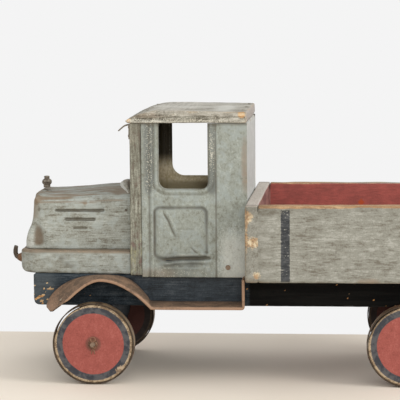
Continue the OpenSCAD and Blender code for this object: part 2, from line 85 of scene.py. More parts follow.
def lumps(points, size, seed=0):
    """Smooth noise from -1 to 1 whose features are about that many millimetres, one number or three."""
    q = points / np.array(size, float) + seed * 7.31
    cell = np.floor(q).astype(np.int64)
    part = q - cell
    part = part * part * (3 - 2 * part)
    total = np.zeros(len(points))
    for corner in np.ndindex(2, 2, 2):
        at = cell + corner
        key = at[:, 0] * 73856093 ^ at[:, 1] * 19349663 ^ at[:, 2] * 83492791
        key = (key ^ (key >> 13)) * 1274126177 & 0x7FFFFFFF
        weight = np.prod(np.where(corner, part, 1 - part), axis=1)
        total += weight * (((key ^ (key >> 15)) & 0xFFFF) / 32767.5 - 1)
    return total


def spot(points, centre, radii):
    """1 at a centre and near 0 beyond the radii, in millimetres."""
    away = (points - np.array(centre, float)) / np.array(radii, float)
    return np.exp(-1.2 * (away ** 2).sum(1))


def rounded_rect(a, b, low, high, radius):
    """Distance outside a rectangle with round corners, or minus the distance inside it."""
    qa = np.abs(a - (low[0] + high[0]) / 2) - (high[0] - low[0]) / 2 + radius
    qb = np.abs(b - (low[1] + high[1]) / 2) - (high[1] - low[1]) / 2 + radius
    outside = np.hypot(np.maximum(qa, 0), np.maximum(qb, 0))
    return outside + np.minimum(np.maximum(qa, qb), 0) - radius


def corners(node):
    """Lowest and highest corner of a CAD node in millimetres."""
    low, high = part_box(node)
    return np.array(low) / MM, np.array(high) / MM


# ---- Meshes ----

class Skin:
    """A mesh's points as an array in millimetres, to shape before they are written back."""

    def __init__(self, obj):
        self.obj, self.mesh = obj, obj.data
        self.p = np.empty(len(self.mesh.vertices) * 3)
        self.mesh.vertices.foreach_get("co", self.p)
        self.p = self.p.reshape(-1, 3) / MM
        pairs = np.empty(len(self.mesh.edges) * 2, np.int64)
        self.mesh.edges.foreach_get("vertices", pairs)
        a, b = pairs.reshape(-1, 2).T
        self.ends, self.others = np.concatenate([a, b]), np.concatenate([b, a])
        self.count = np.maximum(np.bincount(self.ends, minlength=len(self.p)), 1)

    def mean(self, field):
        """The mean over each point's neighbours of an array of numbers or of points."""
        if field.ndim == 2:
            return np.stack([self.mean(column) for column in field.T], axis=1)
        return np.bincount(self.ends, field[self.others], len(self.p)) / self.count

    def smooth(self, rounds):
        """Moves each point half way to the mean of its neighbours, again and again."""
        for _ in range(rounds):
            self.p += 0.5 * (self.mean(self.p) - self.p)

    def normals(self):
        """The points' normals as they stand now."""
        self.mesh.vertices.foreach_set("co", (self.p * MM).ravel())
        self.mesh.update()
        n = np.empty(len(self.p) * 3)
        self.mesh.vertex_normals.foreach_get("vector", n)
        return n.reshape(-1, 3)

    def attribute(self, name, values):
        """Keeps a number for each point, for the materials to read."""
        layer = self.mesh.attributes.new(name, "FLOAT", "POINT")
        layer.data.foreach_set("value", np.clip(values, -1, 1).astype(np.float32))

    def finish(self, edge_gain=9.0, **layers):
        """Writes the points, and marks worn edges and hollows from how far each point stands proud."""
        n = self.normals()
        proud = ((self.p - self.mean(self.p)) * n).sum(1)
        for _ in range(2):
            proud = 0.5 * proud + 0.5 * self.mean(proud)
        self.attribute("edge", np.clip(proud * edge_gain, 0, 1))
        self.attribute("hollow", np.clip(-proud * edge_gain, 0, 1))
        for name, values in layers.items():
            self.attribute(name, values)
        self.mesh.polygons.foreach_set("use_smooth", np.ones(len(self.mesh.polygons), bool))
        self.mesh.update()


def link(name, mesh):
    """A new object in the scene with this mesh."""
    obj = bpy.data.objects.new(name, mesh)
    bpy.context.scene.collection.objects.link(obj)
    return obj


def from_bmesh(name, bm):
    """A new object from a bmesh, with its faces turned outwards."""
    bmesh.ops.recalc_face_normals(bm, faces=bm.faces)
    mesh = bpy.data.meshes.new(name)
    bm.to_mesh(mesh)
    bm.free()
    return link(name, mesh)


def remeshed(obj, cell):
    """obj with one even skin over all its solids."""
    name = obj.name
    remesh = obj.modifiers.new("remesh", "REMESH")
    remesh.mode, remesh.voxel_size = "VOXEL", cell * MM
    bpy.context.view_layer.update()
    mesh = bpy.data.meshes.new_from_object(obj.evaluated_get(bpy.context.evaluated_depsgraph_get()))
    bpy.data.objects.remove(obj)
    return link(name, mesh)


def claim(obj, *nodes):
    """obj stands for these CAD nodes, on their body and with their material."""
    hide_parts(*nodes)
    slot = SLOT_OF[nodes[0]]
    obj.data.materials.clear()
    obj.data.materials.append(materials[PAINTED_OVER.get(nodes[0], slot)])
    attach(obj, BODY_OF[nodes[0]])
    made.update({node: obj for node in nodes})
    return obj


def dense(node, name, cell):
    """A closed mesh of even small faces over a CAD node."""
    bm = bmesh.new()
    bm.from_mesh(frame["nodes"][node].data)
    bmesh.ops.remove_doubles(bm, verts=bm.verts, dist=1e-6)
    return remeshed(from_bmesh(name, bm), cell)


def carved(node, name, cell, rounds, shape=None, **options):
    """A wooden piece: the CAD node's solid with worn round edges, then shaped by shape(points, normals)."""
    skin = Skin(dense(node, name, cell))
    skin.smooth(rounds)
    layers = {}
    if shape:
        moves, layers = shape(skin.p, skin.normals())
        skin.p += moves
    skin.finish(**options, **layers)
    return claim(skin.obj, node)


def rings_to_mesh(name, rings, looped=False):
    """Joins rings of points in millimetres, one after another: a bar with closed ends, or a loop."""
    bm = bmesh.new()
    rows = [[bm.verts.new(np.array(point) * MM) for point in ring] for ring in rings]
    size = len(rows[0])
    for one, two in zip(rows, rows[1:] + rows[:1] if looped else rows[1:]):
        for k in range(size):
            after = (k + 1) % size
            bm.faces.new([one[k], one[after], two[after], two[k]])
    if not looped:
        bm.faces.new(rows[0])
        bm.faces.new(rows[-1])
    return from_bmesh(name, bm)


def tube(name, path, radii, sides=14):
    """A round bar along a path of points, with a radius, or two, at each point."""
    path = [Vector(point) for point in path]
    rings, side = [], Vector((0, 1, 0))
    for i, point in enumerate(path):
        ahead = (path[min(i + 1, len(path) - 1)] - path[max(i - 1, 0)]).normalized()
        side = (side - ahead * side.dot(ahead)).normalized()
        up = ahead.cross(side)
        wide, tall = radii[i] if isinstance(radii[i], tuple) else (radii[i], radii[i])
        rings.append([point + side * wide * math.cos(a) + up * tall * math.sin(a)
                      for a in (2 * math.pi * k / sides for k in range(sides))])
    return rings_to_mesh(name, rings)


def curve_points(controls, steps):
    """Points of a smooth curve through the control points."""
    controls = [Vector(c) for c in controls]
    ends = [2 * controls[0] - controls[1]] + controls + [2 * controls[-1] - controls[-2]]
    points = []
    for a, b, c, d in zip(ends, ends[1:], ends[2:], ends[3:]):
        for k in range(steps):
            t = k / steps
            points.append(0.5 * (2 * b + (c - a) * t + (2 * a - 5 * b + 4 * c - d) * t * t
                                 + (3 * b - a - 3 * c + d) * t ** 3))
    return points + [controls[-1]]


# ---- Materials ----

class Graph:
    """A material's nodes, made with short calls. Positions are the piece's own, in millimetres."""

    def __init__(self, name):
        self.material = bpy.data.materials.new(name)
        self.material.use_nodes = True
        self.tree = self.material.node_tree
        self.shader = self.tree.nodes["Principled BSDF"]
        place = self.tree.nodes.new("ShaderNodeTexCoord").outputs["Object"]
        scaled = self.tree.nodes.new("ShaderNodeVectorMath")
        scaled.operation = "SCALE"
        self.tree.links.new(place, scaled.inputs[0])
        scaled.inputs["Scale"].default_value = 1 / MM
        self.place = scaled.outputs[0]
        split = self.node("ShaderNodeSeparateXYZ", {0: self.place})
        self.x, self.y, self.z = split.outputs

    def node(self, kind, inputs, **settings):
        """A node with each input linked to a socket or set to a value."""
        made_node = self.tree.nodes.new(kind)
        for key, value in settings.items():
            setattr(made_node, key, value)
        for key, value in inputs.items():
            if isinstance(value, bpy.types.NodeSocket):
                self.tree.links.new(value, made_node.inputs[key])
            elif value is not None:
                made_node.inputs[key].default_value = value
        return made_node

    def math(self, operation, a, b=None, c=None):
        return self.node("ShaderNodeMath", {0: a, 1: b, 2: c}, operation=operation).outputs[0]

    def total(self, start, *terms):
        """start plus each value times its weight, from (value, weight) pairs."""
        result = start
        for value, weight in terms:
            result = self.math("MULTIPLY_ADD", value, weight, result)
        return result

    def fade(self, value, low, high):
        """0 where value is below low and 1 above high."""
        return self.node("ShaderNodeMapRange", {0: value, 1: low, 2: high, 3: 0.0, 4: 1.0},
                         interpolation_type="SMOOTHSTEP").outputs[0]

    def within(self, value, low, high, soft=0.6):
        """1 where value is between low and high."""
        rise = self.fade(value, low - soft, low + soft)
        return self.math("MULTIPLY", rise, self.fade(value, high + soft, high - soft))

    def noise(self, size, detail=4, rough=0.6, stretch=(1, 1, 1), offset=0.0):
        """Noise about 0.5 whose features are that many millimetres, times stretch along each axis."""
        scale = tuple(1 / (size * s) for s in stretch)
        moved = self.node("ShaderNodeMapping", {0: self.place, 1: (offset,) * 3, 3: scale}).outputs[0]
        return self.node("ShaderNodeTexNoise", {"Vector": moved, "Scale": 1.0, "Detail": detail,
                                                "Roughness": rough}).outputs[0]

    def layer(self, name):
        """The number that the mesh keeps under this name for each point."""
        return self.node("ShaderNodeAttribute", {}, attribute_name=name).outputs["Fac"]

    def mix(self, amount, below, above):
        """The colour below where amount is 0, and the one above where it is 1."""
        made_node = self.tree.nodes.new("ShaderNodeMix")
        made_node.data_type = "RGBA"
        for socket, value in zip((0, 6, 7), (amount, below, above)):
            if isinstance(value, bpy.types.NodeSocket):
                self.tree.links.new(value, made_node.inputs[socket])
            else:
                made_node.inputs[socket].default_value = value
        return made_node.outputs[2]

    def tint(self, colour, amount, weight, hue):
        """colour with a hue over it, by amount times weight."""
        return self.mix(self.math("MULTIPLY", amount, weight), colour, hue)

    def two_tone(self, low, high, below, above, *terms):
        """One colour where the weighted sum of the terms is low, and another where it is high."""
        return self.mix(self.fade(self.total(0.0, *terms), low, high), below, above)

    def finish(self, colour, height, depth, rough, metallic=0.0, gloss=0.3):
        """The material, with its colour and a bump of that many millimetres."""
        bump = self.node("ShaderNodeBump", {"Strength": 0.9, "Distance": depth * MM, "Height": height})
        self.tree.links.new(bump.outputs[0], self.shader.inputs["Normal"])
        self.tree.links.new(colour, self.shader.inputs["Base Color"])
        self.shader.inputs["Roughness"].default_value = rough
        self.shader.inputs["Metallic"].default_value = metallic
        self.shader.inputs["Specular IOR Level"].default_value = gloss
        return self.material


ORANGE_WOOD, PALE_WOOD, DARK_WOOD = rgb(186, 134, 78), rgb(200, 176, 140), rgb(112, 90, 68)
# Colour of grime and of painted shade
GRIME_AND_SHADE = rgb(74, 66, 52)


def worn_paint(name, paint, light, dark, along=(14, 1, 1), wear=0.0, grime_and_shade=0.5, extra=None, cool=None,
               wood=(ORANGE_WOOD, PALE_WOOD, DARK_WOOD), rubbed=rgb(150, 134, 112), shade=GRIME_AND_SHADE,
               stain=rgb(122, 98, 74), contrast=1.0, depth=0.5, rough=0.72, gloss=0.3):
    """Old paint: streaks along the grain, blotches, rubbed edges, bare patches, grime and painted light and
    shade.
    """
    g = Graph(name)
    g.streak = g.noise(1.7, 5, 0.66, along)
    g.band = g.noise(6.5, 4, 0.62, along, 3.0)
    g.patch = g.noise(26, 5, 0.66, offset=7.0)
    g.blotch = g.noise(9, 4, 0.6, offset=17.0)
    g.speck = g.noise(1.6, 3, 0.62, offset=11.0)
    parts = ((g.streak, 2.6), (g.band, 1.7), (g.patch, 1.3), (g.blotch, 1.0), (g.speck, 1.5))
    weights = [(value, weight * contrast) for value, weight in parts]
    tone = g.total(0.5 - 0.5 * sum(weight for value, weight in weights), *weights)
    colour = g.mix(g.fade(tone, -0.1, 0.5), dark, paint)
    colour = g.mix(g.fade(tone, 0.5, 1.1), colour, light)
    if cool:
        cooled = g.fade(g.total(-0.5, (g.blotch, 1.0), (g.patch, 0.6)), 0.26, 0.44)
        colour = g.tint(colour, cooled, 0.6, cool)
    bare = g.mix(g.fade(g.streak, 0.40, 0.56), wood[2], wood[0])
    bare = g.mix(g.fade(g.band, 0.45, 0.62), bare, wood[1])
    if extra:
        colour = extra(g, colour)
    for layer, hue, amount in (("shade", shade, 0.8), ("stain", stain, 0.75)):
        spread = g.total(-0.7, (g.layer(layer), 1.0), (g.blotch, 0.5), (g.speck, 0.3), (g.streak, 0.6))
        spread = g.math("MULTIPLY", g.fade(spread, 0.1, 0.8), g.fade(g.layer(layer), 0.0, 0.4))
        colour = g.tint(colour, spread, amount, hue)
    rub = g.total(wear - 0.62, (g.layer("edge"), 0.4), (g.streak, 0.6), (g.patch, 0.6))
    colour = g.tint(colour, g.fade(rub, 0.3, 0.52), 0.7, rubbed)
    worn = g.total(-0.65, (g.layer("raw"), 0.95), (g.layer("edge"), 0.1), (g.streak, 0.6), (g.speck, 0.7))
    worn = g.fade(worn, 0.30, 0.52)
    colour = g.mix(worn, colour, bare)
    # Paler where the pieces mark it: paler paint in places, painted highlights in others
    pale = g.total(-0.5, (g.layer("pale"), 0.9), (g.speck, 0.6), (g.streak, 0.4))
    colour = g.tint(colour, g.fade(pale, 0.1, 0.7), 0.6, rgb(194, 194, 186))
    flecks = g.total(0.0, (g.noise(1.3, 2, 0.5, offset=23.0), 1.0), (g.layer("fleck"), 0.17))
    flecks = g.math("MULTIPLY", g.fade(flecks, 0.68, 0.78), g.fade(g.layer("fleck"), 0.0, 0.3))
    colour = g.tint(colour, flecks, 0.8, rgb(200, 196, 180))
    # Darker in hollows and where the pieces mark it: grime in part, painted shade in part
    dirt_and_shade = g.total(-0.35, (g.layer("hollow"), 0.7), (g.layer("dirt_and_shade"), 1.0), (g.streak, 0.35),
                   (g.speck, 0.35))
    dirt_and_shade = g.math("MULTIPLY", g.fade(dirt_and_shade, 0.05, 0.9), grime_and_shade)
    colour = g.mix(dirt_and_shade, colour, GRIME_AND_SHADE)
    height = g.total(0.0, (g.streak, 0.6), (g.speck, 0.35), (g.band, 0.4), (worn, -0.25))
    return g.finish(colour, height, depth, rough, gloss=gloss)


def rusty_iron(name, brown, light, dark, rough=0.62, metallic=0.25):
    """Thin old rust over iron, with lighter rubbed edges and dark pits."""
    g = Graph(name)
    wide = g.noise(16, 5, 0.65)
    fine = g.noise(2.6, 4, 0.6, offset=5.0)
    pits = g.noise(0.9, 3, 0.6, offset=9.0)
    colour = g.mix(g.fade(wide, 0.40, 0.60), dark, brown)
    colour = g.tint(colour, g.fade(fine, 0.50, 0.68), 0.6, light)
    colour = g.tint(colour, g.fade(pits, 0.47, 0.36), 0.6, dark)
    rubbed = g.fade(g.total(-0.2, (g.layer("edge"), 0.6), (g.layer("pale"), 0.9), (fine, 0.4)),
                    0.2, 0.5)
    colour = g.tint(colour, rubbed, 0.75, light)
    colour = g.tint(colour, g.fade(g.layer("dirt_and_shade"), 0.2, 0.9), 0.8, dark)
    colour = g.tint(colour, g.fade(g.layer("stain"), 0.1, 0.9), 0.8, rgb(122, 88, 62))
    height = g.total(0.0, (fine, 0.5), (pits, 0.4), (wide, 0.5))
    return g.finish(colour, height, 0.35, rough, metallic)


def box_paint(g, colour):
    """Dark stripes outside, red paint inside and bare rims on the cargo box."""
    box_middle, stripe_low, stripe_high = 155.0, 105.2, 116.0
    wobble = g.total(-0.5, (g.streak, 1.0))
    side = g.math("ABSOLUTE", g.y)
    outer = g.fade(side, 126.6, 127.2)
    middle = g.math("ABSOLUTE", g.total(box_middle, (g.x, 1.0)))
    stripe = g.within(g.total(middle, (wobble, 1.8)), stripe_low, stripe_high, 0.5)
    stripe = g.math("MULTIPLY", g.math("MULTIPLY", stripe, outer), g.within(g.z, 134, 222, 1.5))
    worn = g.total(0.0, (g.speck, 0.6), (g.streak, 0.5), (g.fade(g.z, 206, 224), 0.07))
    stripe = g.math("MULTIPLY", stripe, g.fade(worn, 0.72, 0.62))
    dark = g.two_tone(0.44, 0.58, rgb(34, 37, 42), rgb(60, 62, 65), (g.blotch, 0.5), (g.streak, 0.5))
    colour = g.tint(colour, stripe, 0.95, dark)
    inner = g.math("MULTIPLY", g.fade(side, 126.4, 125.9), g.within(g.x, -299.6, -10.4, 0.3))
    red = g.two_tone(0.36, 0.84, rgb(120, 62, 55), rgb(158, 80, 71), (g.streak, 0.5), (g.patch, 0.7))
    away = g.total(0.0, (g.math("ABSOLUTE", g.total(134.0, (g.x, 1.0))), 1.0),
                   (g.math("ABSOLUTE", g.total(-201.0, (g.z, 1.0))), 0.9), (g.speck, 6.0))
    red = g.tint(red, g.fade(away, 9.0, 6.0), g.fade(g.y, 0.0, -1.0), rgb(158, 66, 30))
    front = g.mix(g.fade(g.band, 0.4, 0.6), rgb(112, 74, 68), rgb(138, 100, 92))
    red = g.mix(g.fade(g.x, -12.6, -11.8), red, front)
    colour = g.tint(colour, inner, g.fade(g.z, 226.8, 226.2), red)
    rim = g.total(g.z, (g.band, 5.0), (g.streak, 2.0), (g.fade(g.x, -150.0, -40.0), 1.2),
                  (g.fade(g.y, 0.0, -1.0), -2.4))
    rim = g.math("MULTIPLY", g.fade(rim, 227.6, 228.8), g.within(g.x, -299, -11.5, 1.0))
    wood = g.mix(g.fade(g.band, 0.4, 0.62), rgb(160, 122, 82), rgb(184, 154, 118))
    bare = g.two_tone(0.42, 0.58, rgb(138, 106, 76), wood, (g.streak, 0.7), (g.speck, 0.3))
    colour = g.mix(rim, colour, bare)
    end = g.math("MULTIPLY", g.fade(g.z, 225.4, 226.4), g.fade(g.x, -12.0, -10.6))
    return g.tint(colour, end, 0.6, rgb(170, 148, 134))


def wheel_paint(g, colour):
    """A red face with a blue grey ring and a bare rim."""
    radius = g.math("SQRT", g.math("ADD", g.math("MULTIPLY", g.x, g.x), g.math("MULTIPLY", g.z, g.z)))
    radius = g.total(radius, (g.total(-0.5, (g.patch, 1.0)), 1.6), (g.total(-0.5, (g.speck, 1.0)), 0.8))
    ring = g.mix(g.fade(g.blotch, 0.42, 0.58), rgb(50, 51, 56), rgb(78, 77, 78))
    colour = g.mix(g.fade(radius, 37.9, 38.7), colour, ring)
    tan = g.two_tone(0.42, 0.58, rgb(112, 92, 70), rgb(172, 152, 124), (g.speck, 0.5), (g.blotch, 0.5))
    return g.mix(g.fade(radius, 45.5, 46.3), colour, tan)


def post_paint(g, colour):
    """Yellow and purple brown stains low on the cab's front post, and bare boards inside the cab and a pale
    grey rear face, both partly painted light.
    """
    low = g.fade(g.total(g.z, (g.patch, 60.0)), 222, 192)
    yellow = g.fade(g.total(0.0, (g.blotch, 0.4), (g.band, 0.6)), 0.48, 0.62)
    colour = g.tint(colour, g.math("MULTIPLY", low, yellow), 0.4, rgb(156, 150, 98))
    plum = g.fade(g.total(0.0, (g.blotch, 0.6), (g.streak, 0.4)), 0.46, 0.38)
    colour = g.tint(colour, g.math("MULTIPLY_ADD", low, 0.5, 0.3), plum, rgb(112, 92, 84))
    # Pale boards inside the cab: bare wood in part, painted light in part
    inside = g.math("MULTIPLY", g.fade(g.x, 138.5, 137.6), g.fade(g.math("ABSOLUTE", g.y), 82.6, 82.0))
    bare = g.mix(g.fade(g.streak, 0.4, 0.6), rgb(176, 162, 130), rgb(206, 194, 164))
    colour = g.mix(inside, colour, bare)
    # Paler grey rear face: its paint in part, a painted highlight in part
    rear = g.two_tone(0.38, 0.6, rgb(160, 162, 157), rgb(182, 183, 179), (g.streak, 0.6), (g.blotch, 0.4))
    return g.mix(g.fade(g.x, 9.0, 7.5), colour, rear)


def tin_paint(g, colour):
    """Brownish inside of the cab's tin sides: pale low down as painted light, and darker towards the roof
    and the rear as painted shade.
    """
    inner = g.two_tone(0.42, 0.6, rgb(190, 174, 138), rgb(226, 214, 186), (g.patch, 0.5), (g.streak, 0.5))
    # Darker towards the roof: painted shade
    inner = g.mix(g.fade(g.total(g.z, (g.patch, 16.0)), 258, 280), inner, rgb(52, 45, 30))
    # Darker towards the rear, low down: painted shade
    low = g.mix(g.fade(g.x, 92, 62), rgb(150, 138, 108), rgb(92, 82, 62))
    inner = g.mix(g.fade(g.z, 240, 228), inner, low)
    return g.mix(g.fade(g.layer("inner"), 0.3, 0.7), colour, inner)


def roof_paint(g, colour):
    """The roof's top, more evenly weathered than its sides and paler, partly a painted highlight, and its
    pale rear end.
    """
    flat = g.two_tone(0.4, 0.6, rgb(134, 129, 118), rgb(166, 161, 150), (g.band, 0.5), (g.patch, 0.5))
    ribs = g.fade(g.noise(3.6, 2, 0.5, (1, 14, 14), 31.0), 0.44, 0.54)
    ribs = g.math("MULTIPLY", ribs, g.within(g.x, 72, 122, 8))
    flat = g.tint(flat, ribs, 0.6, rgb(196, 190, 180))
    # Paler top: weathering in part, painted highlight in part
    colour = g.tint(colour, g.fade(g.z, 331.0, 337.0), 0.6, flat)
    return g.tint(colour, g.fade(g.x, 7.6, 6.2), 0.8, rgb(158, 151, 144))


def nail_paint(g, colour):
    """Nails painted over in the apron and bare in the mudguard."""
    bare = g.mix(g.fade(g.speck, 0.4, 0.6), rgb(124, 110, 94), rgb(164, 152, 134))
    return g.mix(g.fade(g.x, 196, 206), colour, bare)


def chassis_paint(g, colour):
    """Chalky paint at the front end, and near black behind the cab: a painted shadow of the cargo box."""
    colour = g.tint(colour, g.fade(g.x, 236, 262), 0.5, rgb(82, 88, 90))
    # Near black behind the cab: painted shadow of the cargo box
    painted_box_shadow = g.mix(g.fade(g.band, 0.4, 0.6), rgb(7, 7, 6), rgb(17, 17, 15))
    return g.mix(g.fade(g.x, 6, 2), colour, painted_box_shadow)


def make_materials():
    """Every material by its name."""
    tan_wood = (rgb(164, 134, 104), rgb(184, 168, 142), rgb(112, 94, 76))
    grey = dict(paint=rgb(130, 129, 119), light=rgb(154, 153, 144), dark=rgb(103, 98, 87), contrast=0.9,
                extra=box_paint, wood=(rgb(174, 142, 106), rgb(204, 188, 158), rgb(126, 106, 84)))
    blue = dict(paint=rgb(38, 46, 52), light=rgb(64, 70, 74), dark=rgb(19, 24, 28),
                rubbed=rgb(74, 72, 68), grime_and_shade=0.2)
    paints = {
        "box_paint": dict(grey, along=(7, 1, 1.2)),
        "box_across": dict(grey, along=(1, 7, 1.2)),
        "box_red": dict(paint=rgb(150, 72, 62), light=rgb(176, 92, 80), dark=rgb(112, 56, 48)),
        "cab_wood": dict(paint=rgb(119, 118, 105), light=rgb(150, 149, 136), dark=rgb(90, 84, 72),
                         contrast=1.25, along=(1, 1, 14), extra=post_paint, wood=tan_wood, grime_and_shade=0.6),
        "cab_tin": dict(paint=rgb(135, 139, 130), light=rgb(158, 163, 154), dark=rgb(108, 108, 96),
                        contrast=0.75, along=(1.6, 1, 2.4), extra=tin_paint, wear=-0.08, grime_and_shade=0.7,
                        wood=(rgb(142, 108, 78), rgb(160, 132, 100), rgb(98, 78, 58)),
                        cool=rgb(141, 148, 144), shade=rgb(90, 93, 88), stain=rgb(126, 104, 82),
                        depth=0.25, rough=0.6),
        "cowl_tin": dict(paint=rgb(132, 128, 114), light=rgb(164, 160, 148), dark=rgb(98, 90, 76),
                         along=(1, 3, 1), wood=tan_wood, depth=0.25, rough=0.55),
        "bonnet_paint": dict(paint=rgb(144, 146, 137), light=rgb(172, 175, 167), dark=rgb(108, 104, 92),
                             contrast=0.85, along=(9, 1, 1), wood=tan_wood, grime_and_shade=0.7,
                             cool=rgb(154, 160, 155), stain=rgb(120, 100, 78), shade=rgb(98, 80, 60)),
        "roof_wood": dict(paint=rgb(131, 128, 116), light=rgb(188, 184, 172), dark=rgb(76, 70, 58),
                          wood=(rgb(190, 142, 84), rgb(206, 178, 140), rgb(140, 112, 82)),
                          contrast=1.25, extra=roof_paint),
        "chassis_paint": dict(blue, wear=-0.1, extra=chassis_paint, gloss=0.1),
        "nail_paint": dict(blue, wear=-0.2, extra=nail_paint, depth=0.2),
        "apron_paint": dict(blue, wear=-0.2, depth=0.2, rough=0.55),
        "wheel_paint": dict(paint=rgb(144, 74, 65), light=rgb(158, 88, 79), dark=rgb(128, 64, 56),
                            wood=(rgb(128, 106, 84), rgb(170, 150, 124), rgb(86, 70, 54)),
                            rubbed=rgb(140, 122, 100), shade=rgb(40, 28, 23), contrast=0.75,
                            along=(1, 1, 1), extra=wheel_paint, wear=-0.14),
    }
    rusts = {
        "guard_rust": dict(brown=rgb(122, 98, 78), light=rgb(154, 122, 98), dark=rgb(88, 72, 58),
                           rough=0.7, metallic=0.0),
        "hoop_iron": dict(brown=rgb(110, 90, 70), light=rgb(146, 124, 96), dark=rgb(60, 50, 40)),
        "rusty_steel": dict(brown=rgb(128, 118, 105), light=rgb(160, 152, 138), dark=rgb(74, 64, 54)),
        "nail_steel": dict(brown=rgb(92, 84, 74), light=rgb(124, 116, 104), dark=rgb(56, 50, 42)),
        "axle_steel": dict(brown=rgb(128, 108, 90), light=rgb(158, 140, 122), dark=rgb(72, 58, 48)),
        "hub_rust": dict(brown=rgb(136, 98, 76), light=rgb(166, 130, 106), dark=rgb(82, 56, 42)),
    }
    made_paints = {name: worn_paint(name, **settings) for name, settings in paints.items()}
    made_rusts = {name: rusty_iron(name, **settings) for name, settings in rusts.items()}
    return made_paints | made_rusts


# ---- Wooden pieces ----

def sag(points, normals, amount, size=60):
    """Slow waviness of an old surface."""
    return normals * (amount * lumps(points, size, 1) + 0.3 * amount * lumps(points, 9, 2))[:, None]


def shape_box_board(p, n):
    """Rough rims, bare patches on the front corners, scratches and a small scratched arc."""
    x, y, z = p.T
    far = np.abs(y)
    rim = step(z, 214, 227)
    moves = sag(p, n, 0.35) + n * (rim * 0.5 * lumps(p, (22, 6, 5), 4))[:, None]
    board_low, board_high = corners("box_side_left")
    joint = board_high[0]
    face = np.where(far > (board_low[1] + board_high[1]) / 2, board_high[1] - 0.3, board_low[1])
    closed = ridge(x, joint, 4) ** 0.5 * step(np.abs(far - face), 4, 2) * step(z, 133, 136) * (1 - rim)
    moves[:, 1] += closed * np.sign(y) * (face - far)
    moves[:, 0] += closed * (joint - x) * (np.abs(x - joint) < 2.2)
    flat = np.c_[x, far, z]
    raw = 0.75 * spot(flat, (0, 142, 213), (7, 6, 8)) + 0.8 * spot(flat, (-5.5, 142, 182), (8, 6, 9))
    raw += 0.75 * spot(flat, (-9.5, 142, 142), (6, 6, 6)) + 0.42 * spot(flat, (4, 142, 196), (4, 8, 36))
    arc_at = np.hypot(x + 110, z - 168)
    dirt_and_shade = 0.8 * ridge(arc_at, 5.5, 1.5) * (x > -111) * (y > 126) * (z < 174)
    for at_x, at_z, length in ((-158, 171, 12), (-166, 168.5, 8), (-149, 166, 6)):
        scratch = ridge(z, at_z + 0.1 * (x - at_x), 1.2) * (np.abs(x - at_x) < length / 2)
        dirt_and_shade += 0.7 * scratch * (far > 126)
    dirt_and_shade += 0.3 * step(z, 208, 226) * (far > 127) + 0.3 * step(z, 138, 132)
    dirt_and_shade += 0.35 * step(x, -42, -14) * (far > 127)
    stain = 0.5 * step(z, 150, 134) * step(lumps(p, (30, 30, 12), 6), 0, 0.6)
    pale = 0.5 * step(z, 224.5, 226.5) * (x > joint)
    return moves, {"raw": raw, "dirt_and_shade": dirt_and_shade, "stain": stain, "pale": pale}


def shape_box_floor(p, n):
    """Waviness of the upper side alone."""
    return sag(p, n * (p[:, 2] > 140)[:, None], 0.3), {}


def shape_roof(p, n):
    """Ragged sides, split ends with bare wood, and pale flecks along the lower edge."""
    x, y, z = p.T
    far = np.abs(y)
    side = step(far, 80, 85)
    moves = sag(p, n, 0.5, 50) + n * (side * 0.7 * lumps(p, (14, 5, 3), 6))[:, None]
    grooves = step(z, 334, 338) * lumps(p, (60, 2.6, 30), 7)
    moves[:, 2] += 0.3 * grooves * step(x, 156, 120)
    front = step(x, 142, 156)
    moves[:, 2] -= front * 0.6 * (1 + lumps(p, 12, 3)) * step(z, 324, 332)
    flat = np.c_[x, far, z]
    raw = 0.6 * spot(flat, (152, 86, 327), (4, 8, 4)) + 0.8 * spot(flat, (12, 86, 333), (6, 7, 4.5))
    low = ridge(z, 325.5, 4) * side
    fleck = 1.2 * low * step(x, 86, 110) + 0.7 * low + 0.5 * side
    pale = 0.5 * low * step(x, 90, 110) + 0.75 * spot(p, (36, 20, 339), (12, 60, 8))
    # Paler top: weathering in part, painted highlight in part
    pale += 0.5 * step(z, 335, 338.5) * (0.6 + 0.6 * lumps(p, (40, 16, 9), 3))
    dirt_and_shade = 0.5 * side * (0.5 + 0.6 * lumps(p, (26, 9, 5), 2)) + 0.5 * step(z, 324.6, 323.2)
    stain = 0.4 * side * step(lumps(p, (40, 30, 6), 9), -0.2, 0.5)
    return moves, {"raw": raw, "pale": pale, "dirt_and_shade": dirt_and_shade, "fleck": fleck, "stain": stain}


# Middle of the bonnet's louvre slits, and each one's height and length
LOUVRE_X = 218.5
LOUVRES = ((211, 62), (199.5, 38), (188.5, 18))


